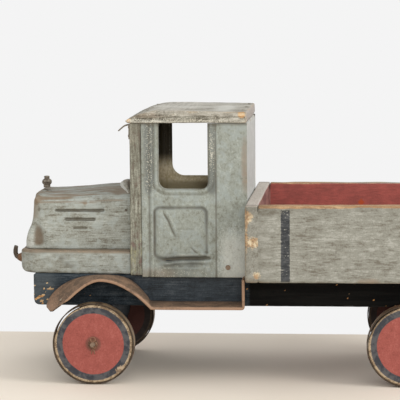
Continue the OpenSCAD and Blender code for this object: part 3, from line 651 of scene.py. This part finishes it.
def shape_bonnet(p, n):
    """A squared nose with flared foot corners, a hollow behind each, and louvre slits."""
    x, y, z = p.T
    side = np.abs(y)
    foot = step(z, 200, 168)
    corner = step(x, 273, 285) * step(side, 30, 50) * foot
    moves = sag(p, n, 0.35, 45)
    moves += np.c_[2.6 * corner, np.sign(y) * 3.2 * corner, 0 * x]
    moves[:, 2] -= 4.4 * step(x, 166, 256) * step(x, 282, 268) * step(z, 205, 232)
    moves += n * (4.4 * ridge(x, 278, 15) * ridge(z, 232, 14) * step(side, 56, 30))[:, None]
    moves[:, 0] -= 2.4 * step(x, 262, 276) * step(z, 182, 205) * step(z, 238, 220)
    louvre = 0 * x
    for height, length in LOUVRES:
        wobble = 0.5 * lumps(p, (7, 90, 90), int(height))
        ends = step(np.abs(x - LOUVRE_X - 2 * wobble), length / 2 + 2, length / 2 - 2)
        slit = step(np.abs(z - height - wobble), 2.5, 0.9) * ends
        louvre = np.maximum(louvre, slit * (side > 54) * min(1, length / 30))
    moves[:, 1] -= np.sign(y) * 1.8 * louvre
    away = ((x - 275) / 13) ** 2 + ((z - 173) / 21) ** 2
    hollow = step(away, 1.35, 0.0) * step(x, 281.5, 275) * step(side, 44, 50) * step(z, 162.5, 169)
    moves -= n * (3.4 * hollow)[:, None]
    moves += n * (0.35 * lumps(p, (46, 12, 3), 5) * step(z, 212, 234))[:, None]
    # The louvre slits are darker: painted shade in them
    dirt_and_shade = 1.25 * louvre + 0.3 * step(z, 222, 232) + 0.4 * step(z, 164, 161.5)
    dent = spot(p, (171, 47, 238), (9, 9, 9))
    moves[:, 2] -= 2.2 * dent
    grain = lumps(p, (34, 2.6, 1.8), 9)
    stain = 1.2 * dent + 0.75 * step(z, 214, 230) * step(grain, -0.35, 0.4)
    stain += 0.7 * step(x, 262, 288) * step(z, 192, 204)
    stain += 0.6 * spot(np.c_[x, side, z], (212, 58, 221), (9, 9, 5)) * step(lumps(p, 4, 3), -0.3, 0.3)
    # Paler flared foot corners: a painted highlight
    pale = 0.6 * step(x, 275, 281) * foot * step(side, 30, 46)
    raw = 0.3 * step(z, 164, 161)
    # Darker in the hollow behind each foot: painted shade
    shade = 0.9 * hollow * step(x, 256, 272)
    return moves, {"dirt_and_shade": dirt_and_shade, "raw": raw, "pale": pale, "stain": stain, "shade": shade}


def shape_base(p, n):
    """Plane marks along the sides and a rubbed upper rim."""
    x, y, z = p.T
    moves = sag(p, n, 0.45, 40) + n * (0.28 * lumps(p, (7, 7, 3), 8))[:, None]
    stain = 0.75 * step(z, 156, 161) + 0.35 * step(x, 258, 292) * (0.6 + 0.6 * lumps(p, (20, 9, 5), 3))
    dirt_and_shade = 0.5 * step(x, 205, 235) * (0.5 + 0.6 * lumps(p, (8, 8, 2.5), 6)) + 0.35 * step(z, 137, 132.5)
    return moves, {"raw": 0.3 * step(z, 159, 161.5), "stain": stain, "dirt_and_shade": dirt_and_shade}


def shape_post(p, n):
    """A dirty line down the cab's front post, and dark boards inside under the roof: a painted shadow of
    the roof.
    """
    x, y, z = p.T
    dirt_and_shade = 0.35 * step(z, 300, 322) + 0.5 * ridge(x, 144, 4) * (0.4 + lumps(p, (9, 9, 26), 4))
    inner = (np.abs(y) < 82) & (x < 138)
    # Darker inside under the roof: painted shadow
    dirt_and_shade += inner * 0.9 * step(z, 270, 305)
    stain = 0.25 * step(lumps(p, (14, 14, 22), 7), 0, 0.6) * (1 - inner)
    return sag(p, n, 0.4, 30), {"dirt_and_shade": dirt_and_shade, "stain": stain}


def shape_cab_back(p, n):
    """Darker inside the cab, and paler outside: a painted highlight on the rear face."""
    inside = step(p[:, 0], 14, 17)
    return sag(p, n, 0.25, 40), {"dirt_and_shade": 0.2 * inside, "pale": 0.2 * (1 - inside)}


def shape_rail(p, n):
    """Chipped lower front corners of the rails."""
    x, y, z = p.T
    flat = np.c_[x, np.abs(y), z]
    chips = 0.9 * spot(flat, (274, 77, 108), (2.5, 9, 13)) * step(lumps(p, 3.4, 5), -0.15, 0.4)
    near = spot(flat, (270, 77, 103), (11, 9, 12)) + 0.9 * spot(flat, (256, 77, 113), (9, 6, 6))
    flakes = step(0.7 * lumps(p, (4.6, 4.6, 2.0), 9) + 0.6 * lumps(p, 1.9, 4) + 0.9 * near, 0.75, 1.0)
    chips = np.maximum(chips, 0.85 * flakes * (np.abs(y) > 74))
    moves = sag(p, n, 0.3) - n * chips[:, None]
    moves[:, 0] += 1.2 * step(x, 262, 272)
    return moves, {"raw": 1.1 * chips}


def add_wood():
    """Every board, with the bonnet and the roof."""
    for node in ("box_side_left", "box_side_right", "box_front_board", "box_rear_board"):
        carved(node, "worn_" + node, 1.8, 2, shape_box_board, edge_gain=5.0)
    carved("box_floor", "worn_box_floor", 2.5, 1, shape_box_floor)
    carved("cab_roof", "worn_cab_roof", 1.7, 3, shape_roof)
    carved("bonnet", "carved_bonnet", 1.05, 3, shape_bonnet, edge_gain=4.0)
    carved("bonnet_base", "carved_base", 1.5, 4, shape_base, edge_gain=5.0)
    carved("cab_front_board", "worn_cab_front", 1.7, 2, shape_post, edge_gain=4.0)
    carved("cab_back_board", "worn_cab_back", 2.2, 2, shape_cab_back)
    for side in ("left", "right"):
        carved("chassis_rail_" + side, "worn_rail_" + side, 1.9, 2, shape_rail)


# ---- Cab sides of pressed tin ----

# Corners of the window and of the pressed panel, (x, z), and the sheet's thickness
WINDOW_LOW, WINDOW_HIGH = (54.3, 241.5), (115.3, 400.0)
PANEL_LOW, PANEL_HIGH = (57.8, 155.5), (119.8, 216.0)
TIN = 1.2


def arc(centre, radius, start, end, steps=8):
    """Points of an arc from one angle to another, in degrees."""
    turns = np.radians(np.linspace(start, end, steps + 1))
    return [(centre[0] + radius * math.cos(t), centre[1] + radius * math.sin(t)) for t in turns]


def tin_relief(x, z, p):
    """How far the pressed sheet stands out, in millimetres."""
    window = rounded_rect(x, z, WINDOW_LOW, WINDOW_HIGH, 10)
    panel = rounded_rect(x, z, PANEL_LOW, PANEL_HIGH, 6)
    out = 1.2 * ridge(window, 3.6, 3.6) - 0.6 * ridge(window, 8.0, 2.2)
    out += 1.0 * step(panel, 0.8, -5.0) - 0.45 * ridge(panel, 1.6, 2.4) + 0.4 * ridge(panel, 5.0, 3.0)
    out += 0.9 * step(x, 130.0, 131.6) - 0.9 * ridge(x, 127.6, 2.6) - 0.4 * ridge(x, 121.4, 2.0)
    out -= 0.8 * ridge(x, 44.3, 1.9) + 0.4 * ridge(x, 47.6, 2.6)
    out += 0.5 * ridge(x, 124.4, 2.4)
    across = (x - 110) * 0.9 - (z - 216) * 0.43 + 1.2 * lumps(p, 9, 2)
    down = (110 - x) * 0.43 + (216 - z) * 0.9
    crease = 1.3 * ridge(across, -2.2, 3.4) - 1.3 * ridge(across, 1.6, 3.0)
    out += step(down, -1, 9) * step(down, 46, 30) * crease
    fold = z - 190 - 0.10 * (x - 82) - 1.6 * lumps(p, 5, 4)
    out += step(x, 68, 80) * step(x, 96, 88) * (0.4 * ridge(fold, 2.6, 3.2) - 0.45 * ridge(fold, -0.6, 2.8))
    fold = z - np.interp(x, (50, 64, 77), (154.5, 157.5, 169))
    out += step(x, 49, 54) * step(x, 80, 74) * (0.9 * ridge(fold, 3.0, 3.4) - 0.8 * ridge(fold, -0.6, 2.8))
    dented = step(z, 167, 158) * step(z, 137, 144) * step(x, 46, 58) * step(x, 118, 106)
    wavy = z + 3.0 * lumps(p, (17, 1, 60), 9) + 0.06 * (x - 80)
    ripples = 1.8 * ridge(wavy, 158, 3.6) - 2.2 * ridge(wavy, 153, 3.2) + 2.0 * ridge(wavy, 148.5, 3.4)
    out += dented * ripples
    out += dented * 0.7 * lumps(p, (7, 1, 3.6), 4)
    lip = rounded_rect(x, z, (60, 141), (112, 149), 4)
    out += 0.9 * ridge(lip, 0, 1.8) * step(z, 150, 143)
    out += 0.5 * lumps(p, 34, 3) + 0.28 * lumps(p, 9, 5) + 0.14 * lumps(p, 3.2, 6)
    return out


def tin_outline(left, right, bottom, top, bend):
    """The sheet's outline, open at the top for the window, whose front corner has that radius."""
    outline = [(left, bottom), (right, bottom), (right, top), (WINDOW_HIGH[0], top)]
    outline += arc((WINDOW_HIGH[0] - bend, WINDOW_LOW[1] + bend), bend, 0, -90)
    outline += arc((WINDOW_LOW[0] + 7, WINDOW_LOW[1] + 7), 7, 270, 180)
    return outline + [(WINDOW_LOW[0], top), (left, top)]


def tin_layers(x, z, flat, hollow):
    """Stains, bare bands and flecks of the pressed sheet, with painted shade in its grooves and under the
    roof and painted highlights on its ridges.
    """
    at = flat * [1, 0, 1]
    window = rounded_rect(x, z, WINDOW_LOW, WINDOW_HIGH, 10)
    panel = rounded_rect(x, z, PANEL_LOW, PANEL_HIGH, 6)
    wall = lumps(flat, (14, 14, 30), 6)
    above = step(z, 226, 246)
    rear = step(x, 17, 6) * ridge(z, 275, 75)
    low = step(z, 152, 136)
    inner = (flat[:, 1] < -0.5).astype(float)
    # Darker in the hollows of the pressing, round the window, along the panel and the rear groove and under
    # the roof: painted shade, with dirt low down
    dirt_and_shade = np.clip(hollow * 2.6, 0, 1) + 0.3 * step(z, 145, 131) + 0.45 * ridge(window, 1.2, 2.5)
    dirt_and_shade += 0.2 * ridge(panel, 2, 4) + 0.5 * ridge(x, 44.3, 1.8) + 0.6 * step(z, 317.5, 322)
    shade = 1.0 * ridge(x, 128, 13) * above + 1.2 * ridge(x, 49, 10) * above + 0.7 * ridge(panel, 1.5, 5)
    shade += 0.8 * spot(at, (92, 0, 152), (34, 1, 9)) + 0.45 * step(z, 172, 150) * ridge(x, 88, 44)
    fleck = 0.8 * ridge(x, 127, 10) * above + 1.2 * spot(at, (50, 0, 288), (6, 1, 34)) + 0.4 * low
    # Paler on the ridges and along the front edge: painted highlight
    pale = np.clip(-hollow * 1.2, 0, 0.3) + 0.2 * ridge(x, 134, 3.4)
    return {
        "dirt_and_shade": dirt_and_shade * (1 - inner),
        "shade": shade * (0.8 + 0.5 * wall) * (1 - inner),
        "raw": 0.6 * rear * step(x, 11, 6) * (0.6 + 0.6 * wall),
        "stain": (0.95 * rear * (0.7 + 0.5 * wall) + 0.4 * low * step(x, 70, 110)) * (1 - inner),
        # Paler low at the rear: painted light that lifts the shade of the cargo box
        "pale": pale + 0.65 * step(x, 50, 30) * step(z, 215, 165),
        "fleck": fleck * (1 - inner),
        "inner": inner,
    }


def tin_side(side, name):
    """A pressed sheet in the plane of the front board's edge. side is 1 on the left and -1 on the right."""
    low, high = corners("cab_side_" + name)
    plane = corners("cab_front_board")[1][1]
    bm = bmesh.new()
    bend = 13.5 - 2.5 * side
    outline = tin_outline(low[0], high[0], low[2], high[2], bend)
    bm.faces.new([bm.verts.new((x, 0, z)) for x, z in outline])
    cell = 1.2
    for axis in (0, 2):
        way = Vector((1, 0, 0)) if axis == 0 else Vector((0, 0, 1))
        for at in np.arange(low[axis] + cell, high[axis] - 0.5, cell):
            bmesh.ops.bisect_plane(bm, geom=bm.verts[:] + bm.edges[:] + bm.faces[:], dist=1e-4,
                                   plane_co=way * at, plane_no=way)
    extruded = bmesh.ops.extrude_face_region(bm, geom=bm.faces[:])["geom"]
    for v in extruded:
        if isinstance(v, bmesh.types.BMVert):
            v.co.y = -TIN
    bmesh.ops.scale(bm, vec=(MM, MM, MM), verts=bm.verts)
    skin = Skin(from_bmesh("tin_cab_side_" + name, bm))
    flat = skin.p.copy()
    x, z = flat[:, 0], flat[:, 2]
    relief = tin_relief(x, z, flat * [1, 0, 1])
    relief *= 0.3 + 0.7 * np.minimum(step(high[2] - z, 0, 3), step(x - low[0], 0, 3))
    skin.p[:, 1] = side * (plane + flat[:, 1] + relief)
    hollow = -(relief - 0.5 * (skin.mean(relief) + skin.mean(skin.mean(relief))))
    for _ in range(3):
        hollow = 0.5 * hollow + 0.5 * skin.mean(hollow)
    skin.finish(edge_gain=1.2, **tin_layers(x, z, flat, hollow))
    claim(skin.obj, "cab_side_" + name)


# ---- Mudguards ----

# Curves of the arch's outer lip and inner wall, (x, z) with x from the axle, and the rivet's place
LIP_FRONT = [(54.5, 88.2), (46, 83), (14.5, 129.7), (-10, 129.7)]
LIP_REAR = [(-10, 129.7), (-33.5, 129.7), (-55, 114), (-72.5, 95.5)]
WALL_FRONT = [(65.5, 91), (61.5, 112.5), (31, 132), (-2, 132)]
WALL_REAR = [(-2, 132), (-35.5, 132), (-45, 131), (-68, 99)]
RIVET_X, RIVET_Y, RIVET_Z = 235.9, 112, 105.2
# Share of the arch's length by which its front corners are rounded off
TIP = 0.075


def bezier(controls, t):
    """Points of a cubic curve at the shares t."""
    a, b, c, d = (np.array(point, float) for point in controls)
    t = t[:, None]
    return (1 - t) ** 3 * a + 3 * (1 - t) ** 2 * t * b + 3 * (1 - t) * t * t * c + t ** 3 * d


def path_normals(path):
    """Unit vectors square to a path in its plane."""
    ahead = np.gradient(path, axis=0)
    ahead /= np.linalg.norm(ahead, axis=1)[:, None]
    return np.c_[ahead[:, 1], -ahead[:, 0]]


def along(path, share):
    """Points at shares of a path's index, from 0 to 1."""
    at = np.arange(len(path)) / (len(path) - 1)
    return np.c_[np.interp(share, at, path[:, 0]), np.interp(share, at, path[:, 1])]


def mudguard(side, name):
    """A rolled tin arch that runs on as a flat running board and turns up behind."""
    low, high = corners("mudguard_" + name)
    axle = (corners("front_axle")[0][0] + corners("front_axle")[1][0]) / 2
    inside, outside = min(abs(low[1]), abs(high[1])), max(abs(low[1]), abs(high[1]))
    t = np.linspace(0, 1, 45)
    flange = low[0] - axle + 0.6
    board = [(-76, 95.5), (-90, 95.5), (-130, 95.5), (flange + 5, 95.5)]
    bend = arc((flange + 4, 99.5), 4, 270, 180, 6) + [(flange, 112), (flange, high[2] - 0.5)]
    lip = np.concatenate([bezier(LIP_FRONT, t)[:-1], bezier(LIP_REAR, t), board, bend])
    lip_normal = path_normals(lip)
    crown = lip + 3.6 * lip_normal
    wall = np.concatenate([bezier(WALL_FRONT, t)[:-1], bezier(WALL_REAR, t), crown[2 * len(t) - 1:]])
    rows = 130
    share_along = np.linspace(0, 1, rows) ** 1.08
    surface, under = [], []
    for share in np.linspace(0, 1, 15):
        tip = TIP * (1 - math.sqrt(max(0, 1 - abs(2 * share - 1) ** 2.4)))
        at = tip + (1 - tip) * share_along
        line = (1 - share) * along(wall, at) + share * along(crown, at)
        normal = (1 - share) * along(path_normals(wall), at) + share * along(lip_normal, at)
        line = line + normal * (1.7 * math.sin(math.pi * share) * (at < 0.84))[:, None]
        y = inside + (outside - 1.6 - inside) * share
        surface.append(np.c_[line[:, 0], np.full(rows, y), line[:, 1]])
        sheet = line - normal
        under.append(np.c_[sheet[:, 0], np.full(rows, y), sheet[:, 1]])
    at = 2 * TIP + (1 - 2 * TIP) * share_along
    rim, rim_normal = along(crown, at), along(lip_normal, at)
    base = rim + (along(lip, at) - rim) * step(np.arange(rows), -1, 14)[:, None]
    ring_lines = surface[:]
    for drop, y in ((0.35, outside - 0.7), (1.2, outside - 0.1)):
        line = rim - rim_normal * drop
        ring_lines.append(np.c_[line[:, 0], np.full(rows, y), line[:, 1]])
    for lift, y in ((0.5, outside), (0.0, outside - 0.4), (0.4, outside - 1.1)):
        line = base + rim_normal * lift
        ring_lines.append(np.c_[line[:, 0], np.full(rows, y), line[:, 1]])
    line = rim - rim_normal * 1.4
    ring_lines.append(np.c_[line[:, 0], np.full(rows, outside - 1.3), line[:, 1]])
    ring_lines += under[::-1]
    rings = np.stack(ring_lines, axis=1)
    rings[:, :, 0] += axle
    rings[:, :, 1] *= side
    skin = Skin(rings_to_mesh("rolled_mudguard_" + name, rings))
    p = skin.p
    skin.p[:, 2] += 0.35 * lumps(p, 26, 4) * step(p[:, 0], 20, 60)
    rivet = Vector((RIVET_X, side * RIVET_Y, RIVET_Z))
    outward = (rivet - Vector((axle, rivet.y, AXLE_Z))).normalized()
    skin.p -= np.array(outward) * (1.5 * spot(p, rivet, (8, 8, 8)))[:, None]
    rim_share = step(np.abs(p[:, 1]), outside - 1.4, outside - 0.6)
    front = step(p[:, 0], 225, 250)
    # Darker on the inner half and on a patch of the running board: painted shade in part, dirt in part
    skin.finish(edge_gain=1.2, pale=(0.4 + 0.3 * lumps(p, 14, 2)) * rim_share + 0.4 * front,
                dirt_and_shade=0.55 * step(np.abs(p[:, 1]), 100, 80) * (p[:, 0] < 215)
                + 0.6 * spot(np.c_[p[:, 0], np.abs(p[:, 1]), p[:, 2]], (122, 100, 100), (14, 30, 9)))
    claim(skin.obj, "mudguard_" + name)


# ---- Wheels ----

def lathe(name, profile):
    """A turned ring about its own y axis from (radius, y) points round its section."""
    steps = 128
    rings = [[(r * math.cos(a), y, r * math.sin(a)) for r, y in profile]
             for a in (2 * math.pi * k / steps for k in range(steps))]
    return rings_to_mesh(name, rings, looped=True)


def seat(obj, centre, shift):
    """Puts a wheel's piece at its axle, its own origin a little to one side so that no two look alike."""
    obj.data.transform(Matrix.Translation((0, -shift * MM, 0)))
    obj.location = (Vector(centre) + Vector((0, shift, 0))) * MM


def wheel(place, shift):
    """A painted wooden disc in a loose iron hoop."""
    disc, hoop = "wheel_disc_" + place, "wheel_hoop_" + place
    low, high = corners(disc)
    centre = (low + high) / 2
    half = (high[1] - low[1]) / 2
    radius = (high[2] - low[2]) / 2
    edge, round_off = radius - 0.35, 1.2
    face = list(np.linspace(ROD + 0.12, edge - round_off, 34))
    rim = [(edge - round_off + round_off * math.sin(a), half - round_off + round_off * math.cos(a))
           for a in np.radians((30, 60, 90))]
    outer = [(r, half) for r in face] + rim
    tread = [(edge, y) for y in np.linspace(half - 2.4, 0, 4)]
    profile = outer + tread + [(r, -y) for r, y in (outer + tread[:-1])[::-1]]
    skin = Skin(lathe("painted_" + disc, profile))
    r = np.hypot(skin.p[:, 0], skin.p[:, 2])
    wave = 0.25 * lumps(skin.p, 18, 5) * step(r, 8, 20)
    wave += 0.2 * lumps(skin.p, (5, 60, 5), 3) * step(r, 42, 48)
    skin.p[:, 1] += np.sign(skin.p[:, 1]) * (wave - 0.3) * (np.abs(skin.p[:, 1]) > half - 1.3) * (r > 6)
    outward = 1 if centre[1] > 0 else -1
    worn = spot(skin.p, (-33, 0, -31), (13, 60, 6)) * step(r, 40, 43) * (outward * skin.p[:, 1] > 0)
    gap = step((skin.p[:, 0] + skin.p[:, 2]) / (math.sqrt(2) * r), 0.78, 0.97) * step(r, 38, 48)
    skin.p[:, [0, 2]] *= (1 - 1.5 * gap / r)[:, None]
    # Darker inner faces: painted shade
    inner = step(-outward * skin.p[:, 1], 1, 4)
    skin.finish(edge_gain=3.0, raw=0.75 * worn, dirt_and_shade=0.85 * ridge(r, 7.6, 4.2) + 0.3 * step(r, 44, 50),
                shade=1.2 * inner)
    seat(claim(skin.obj, disc), centre, shift)

    low, high = corners(hoop)
    half, outside = (high[1] - low[1]) / 2, (high[2] - low[2]) / 2
    soft = 0.45
    ring = [(radius, half - soft), (radius + soft, half), (outside - soft, half), (outside, half - soft)]
    ring += [(outside, y) for y in np.linspace(half - 2, -half + 2, 8)]
    ring += [(r, -y) for r, y in ring[3::-1]] + [(radius, y) for y in (-half / 2, 0, half / 2)]
    skin = Skin(lathe("iron_" + hoop, ring))
    r = np.hypot(skin.p[:, 0], skin.p[:, 2])
    bumps = 0.16 * lumps(skin.p, (11, 7, 11), 8) - 0.16
    skin.p[:, [0, 2]] *= (1 + bumps * (r > outside - 0.2) / r)[:, None]
    skin.p[:, 1] += 0.25 * lumps(skin.p * [1, 0, 1], 16, 2) * (np.abs(skin.p[:, 1]) > half - 1)
    # Darker flat sides: rust in part, painted shade in part
    flat_edge = step(np.abs(skin.p[:, 1]), half - 1.4, half - 0.4)
    pale = (0.4 + 0.5 * lumps(skin.p, (9, 5, 9), 6)) * (1 - flat_edge)
    skin.finish(edge_gain=0.6, pale=pale, dirt_and_shade=0.8 * flat_edge)
    seat(claim(skin.obj, hoop), (low + high) / 2, shift)


# ---- Small ironwork ----

def tow_hook():
    """A round bar through a collar, bent up at its tip."""
    low, high = corners("tow_hook")
    z = low[2] + 3.4
    tip_x = high[0]
    path = curve_points([(low[0] + 2, 0, z), (low[0] + 5, 0, z), (tip_x - 7, 0, z - 0.4),
                         (tip_x - 3.4, 0, z + 2.4), (tip_x - 2.2, 0, z + 7), (tip_x - 2.6, 0, z + 11.5),
                         (tip_x - 3.6, 0, z + 15)], 5)
    share = np.linspace(0, 1, len(path))
    hook = tube("bar", path, [(3.2 - 0.5 * s ** 2, 3.3 - 0.7 * s ** 2) for s in share])
    collar = tube("collar", [(low[0] + x, 0, z) for x in (0, 2, 5, 8, 10.5, 13)],
                  [7.2, 7.4, 7.0, 6.0, 4.9, 3.4], 22)
    joined = join_meshes("bent_tow_hook", [hook, collar])
    skin = Skin(remeshed(joined, 0.5))
    skin.smooth(4)
    skin.p += skin.normals() * (0.22 * lumps(skin.p, 2.6, 4))[:, None]
    skin.finish(edge_gain=4.0, pale=0.35 * step(skin.p[:, 2], z + 8, high[2]),
                dirt_and_shade=0.7 * step(skin.p[:, 0], low[0] + 11, low[0] + 15),
                stain=0.9 * step(skin.p[:, 0], low[0] + 15, low[0] + 10))
    claim(skin.obj, "tow_hook")


def join_meshes(name, objects):
    """One object from several, which it takes the place of."""
    bm = bmesh.new()
    for obj in objects:
        bm.from_mesh(obj.data)
        bpy.data.objects.remove(obj)
    return from_bmesh(name, bm)


def radiator_cap():
    """A turned knob, from (height, radius) points up its side."""
    low, high = corners("radiator_cap")
    x, y = (low[:2] + high[:2]) / 2
    levels = [(0, 4.4), (1, 4.2), (2.4, 4.4), (3.4, 4.3), (4.0, 5.2), (5.2, 6.0), (6.6, 6.2), (8.2, 6.1),
              (9.6, 5.3), (10.6, 4.2), (11.2, 3.2), (11.9, 3.0), (12.6, 3.5), (13.6, 3.6), (14.4, 3.2),
              (14.8, 2.0)]
    seat_z = high[2] - levels[-1][0]
    steps = 40
    rings = [[(x + r * math.cos(a), y + r * math.sin(a), seat_z + h)
              for a in (2 * math.pi * k / steps for k in range(steps))] for h, r in levels]
    skin = Skin(rings_to_mesh("turned_radiator_cap", rings))
    skin.p[:, :2] += (skin.p[:, :2] - [x, y]) * (0.05 * lumps(skin.p, 3.2, 5))[:, None]
    skin.finish(edge_gain=3.0)
    claim(skin.obj, "radiator_cap")


def split_pin(place):
    """A pin of two wires through the rod, spread below and closed in an eye above."""
    node = "split_pin_" + place
    low, high = corners(node)
    x, y = (low[:2] + high[:2]) / 2
    z, top = AXLE_Z, high[2]
    wire = 0.8 * 0.92
    legs = [[(x + s * 2.0, y + s * 0.2, low[2] + 1.4), (x + s * 1.2, y, z - 8), (x + s * 0.6, y, z - 3.5),
             (x + s * 0.5, y, z + 2.4), (x + s * 2.6, y, z + 4.0), (x + s * 3.0, y, top - 2.4),
             (x + s * 1.3, y, top - 0.9), (x, y, top - 0.8)] for s in (-1, 1)]
    bars = [tube("leg", curve_points(leg, 4), [wire] * (4 * len(leg) - 3), 10) for leg in legs]
    skin = Skin(remeshed(join_meshes("bent_" + node, bars), 0.34))
    skin.smooth(2)
    skin.finish(edge_gain=5.0)
    claim(skin.obj, node)


def bent_nail():
    """A nail knocked half out and bent down."""
    low, high = corners("bent_nail")
    y = (low[1] + high[1]) / 2
    path = curve_points([(low[0] + 1, y, high[2] - 1.2), (low[0] + 12, y, high[2] - 1.0),
                         (high[0] - 8, y, high[2] - 2.6), (high[0] - 3.5, y + 0.4, low[2] + 3.4),
                         (high[0] - 0.4, y + 0.8, low[2] + 0.5)], 6)
    skin = Skin(tube("knocked_nail", path, [1.15 - 0.3 * k / len(path) for k in range(len(path))], 10))
    skin.finish(edge_gain=2.0)
    claim(skin.obj, "bent_nail")


def cowl_band():
    """A tin strip over the bonnet's rear edge, curled up and widest along the bonnet's crown."""
    low, high = corners("cowl_band")
    skin = Skin(dense("cowl_band", "peeled_cowl_band", 0.9))
    skin.smooth(3)
    x, y, z = skin.p.T.copy()
    far = np.abs(y)
    ahead = (x - low[0]) / (high[0] - low[0])
    reach = np.interp(far, (0, 15, 30, 42, 50, 58), (22, 21, 17, 11, 7, 3.5))
    skin.p[:, 0] = low[0] + ahead * reach
    arch = ridge(ahead, 0.66, 0.4)
    skin.p[:, 2] += (0.9 * arch - 2.2 * (1 - arch) - 1.6 * step(ahead, 0.5, 0.2)) * step(far, 54, 34)
    fall = 4.4 * step(skin.p[:, 0], 166, 256)
    skin.p[:, 2] -= fall * step(far, 58, 40)
    skin.p += skin.normals() * (0.3 * lumps(skin.p, 11, 3))[:, None]
    dirt_and_shade = 0.25 + 0.2 * lumps(skin.p, 20, 2) + 0.4 * step(ahead, 0.7, 0.3)
    # Paler along the front edge: a painted highlight
    skin.finish(pale=1.3 * step(ahead, 0.8, 0.92), dirt_and_shade=dirt_and_shade, stain=0.7 * step(ahead, 0.75, 0.35))
    claim(skin.obj, "cowl_band")


# ---- Stage ----

def add_stage():
    """A plain pale floor that ends a little behind the truck, and an even pale sky."""
    bm = bmesh.new()
    left, right, back, front = -3.0, 3.0, -0.242, 4.0
    edges = ((left, back, 0), (right, back, 0), (right, front, 0), (left, front, 0))
    bm.faces.new([bm.verts.new(corner) for corner in edges])
    floor = from_bmesh("floor", bm)
    g = Graph("plain_floor")
    soft = g.noise(260, 2, 0.5)
    colour = g.mix(g.fade(soft, 0.3, 0.7), rgb(220, 209, 194), rgb(226, 216, 202))
    floor.data.materials.append(g.finish(colour, soft, 0.1, 0.9))

    world = bpy.data.worlds.new("studio")
    world.use_nodes = True
    background = world.node_tree.nodes["Background"]
    background.inputs[0].default_value = (0.905, 0.905, 0.905, 1)
    background.inputs[1].default_value = 1.0
    bpy.context.scene.world = world


def area_light(name, place, size, power):
    """A round soft light turned to the middle of the truck."""
    data = bpy.data.lights.new(name, "AREA")
    data.shape, data.size, data.energy = "DISK", size, power
    obj = bpy.data.objects.new(name, data)
    obj.location = place
    obj.rotation_euler = (Vector((0, 0, 0.15)) - Vector(place)).to_track_quat("-Z", "Y").to_euler()
    bpy.context.scene.collection.objects.link(obj)


def add_camera():
    """The photo's camera, from its place and the ways that it looks and holds up."""
    data = bpy.data.cameras.new("camera")
    data.lens, data.sensor_width, data.clip_end = 176.93, 36, 100
    camera = bpy.data.objects.new("camera", data)
    forward = Vector((0.08869681, -0.98961651, -0.11310188))
    up = Vector((0.0025948, -0.11331947, 0.99355522))
    right = forward.cross(up).normalized()
    up = right.cross(forward)
    turned = Matrix((right, up, -forward)).transposed().to_4x4()
    camera.matrix_world = Matrix.Translation((-0.1525, 2.5001, 0.5036)) @ turned
    bpy.context.scene.collection.objects.link(camera)
    bpy.context.scene.camera = camera


materials = make_materials()
add_wood()
for side, name in ((1, "left"), (-1, "right")):
    tin_side(side, name)
    mudguard(side, name)
for place, shift in (("front_left", 0), ("front_right", 60), ("rear_left", 120), ("rear_right", 180)):
    wheel(place, shift)
    split_pin(place)
tow_hook()
radiator_cap()
bent_nail()
cowl_band()
for node, obj in frame["nodes"].items():
    if node not in made:
        obj.data.materials.clear()
        obj.data.materials.append(materials[PAINTED_OVER.get(node, SLOT_OF[node])])
add_stage()
area_light("key", (-2.5, 1.2, 1.5), 1.4, 46)
area_light("top", (-0.4, 2.2, 2.4), 1.8, 14)
area_light("front", (-0.3, 2.8, 0.9), 1.0, 20)
add_camera()
bpy.context.scene.view_settings.view_transform = "Standard"
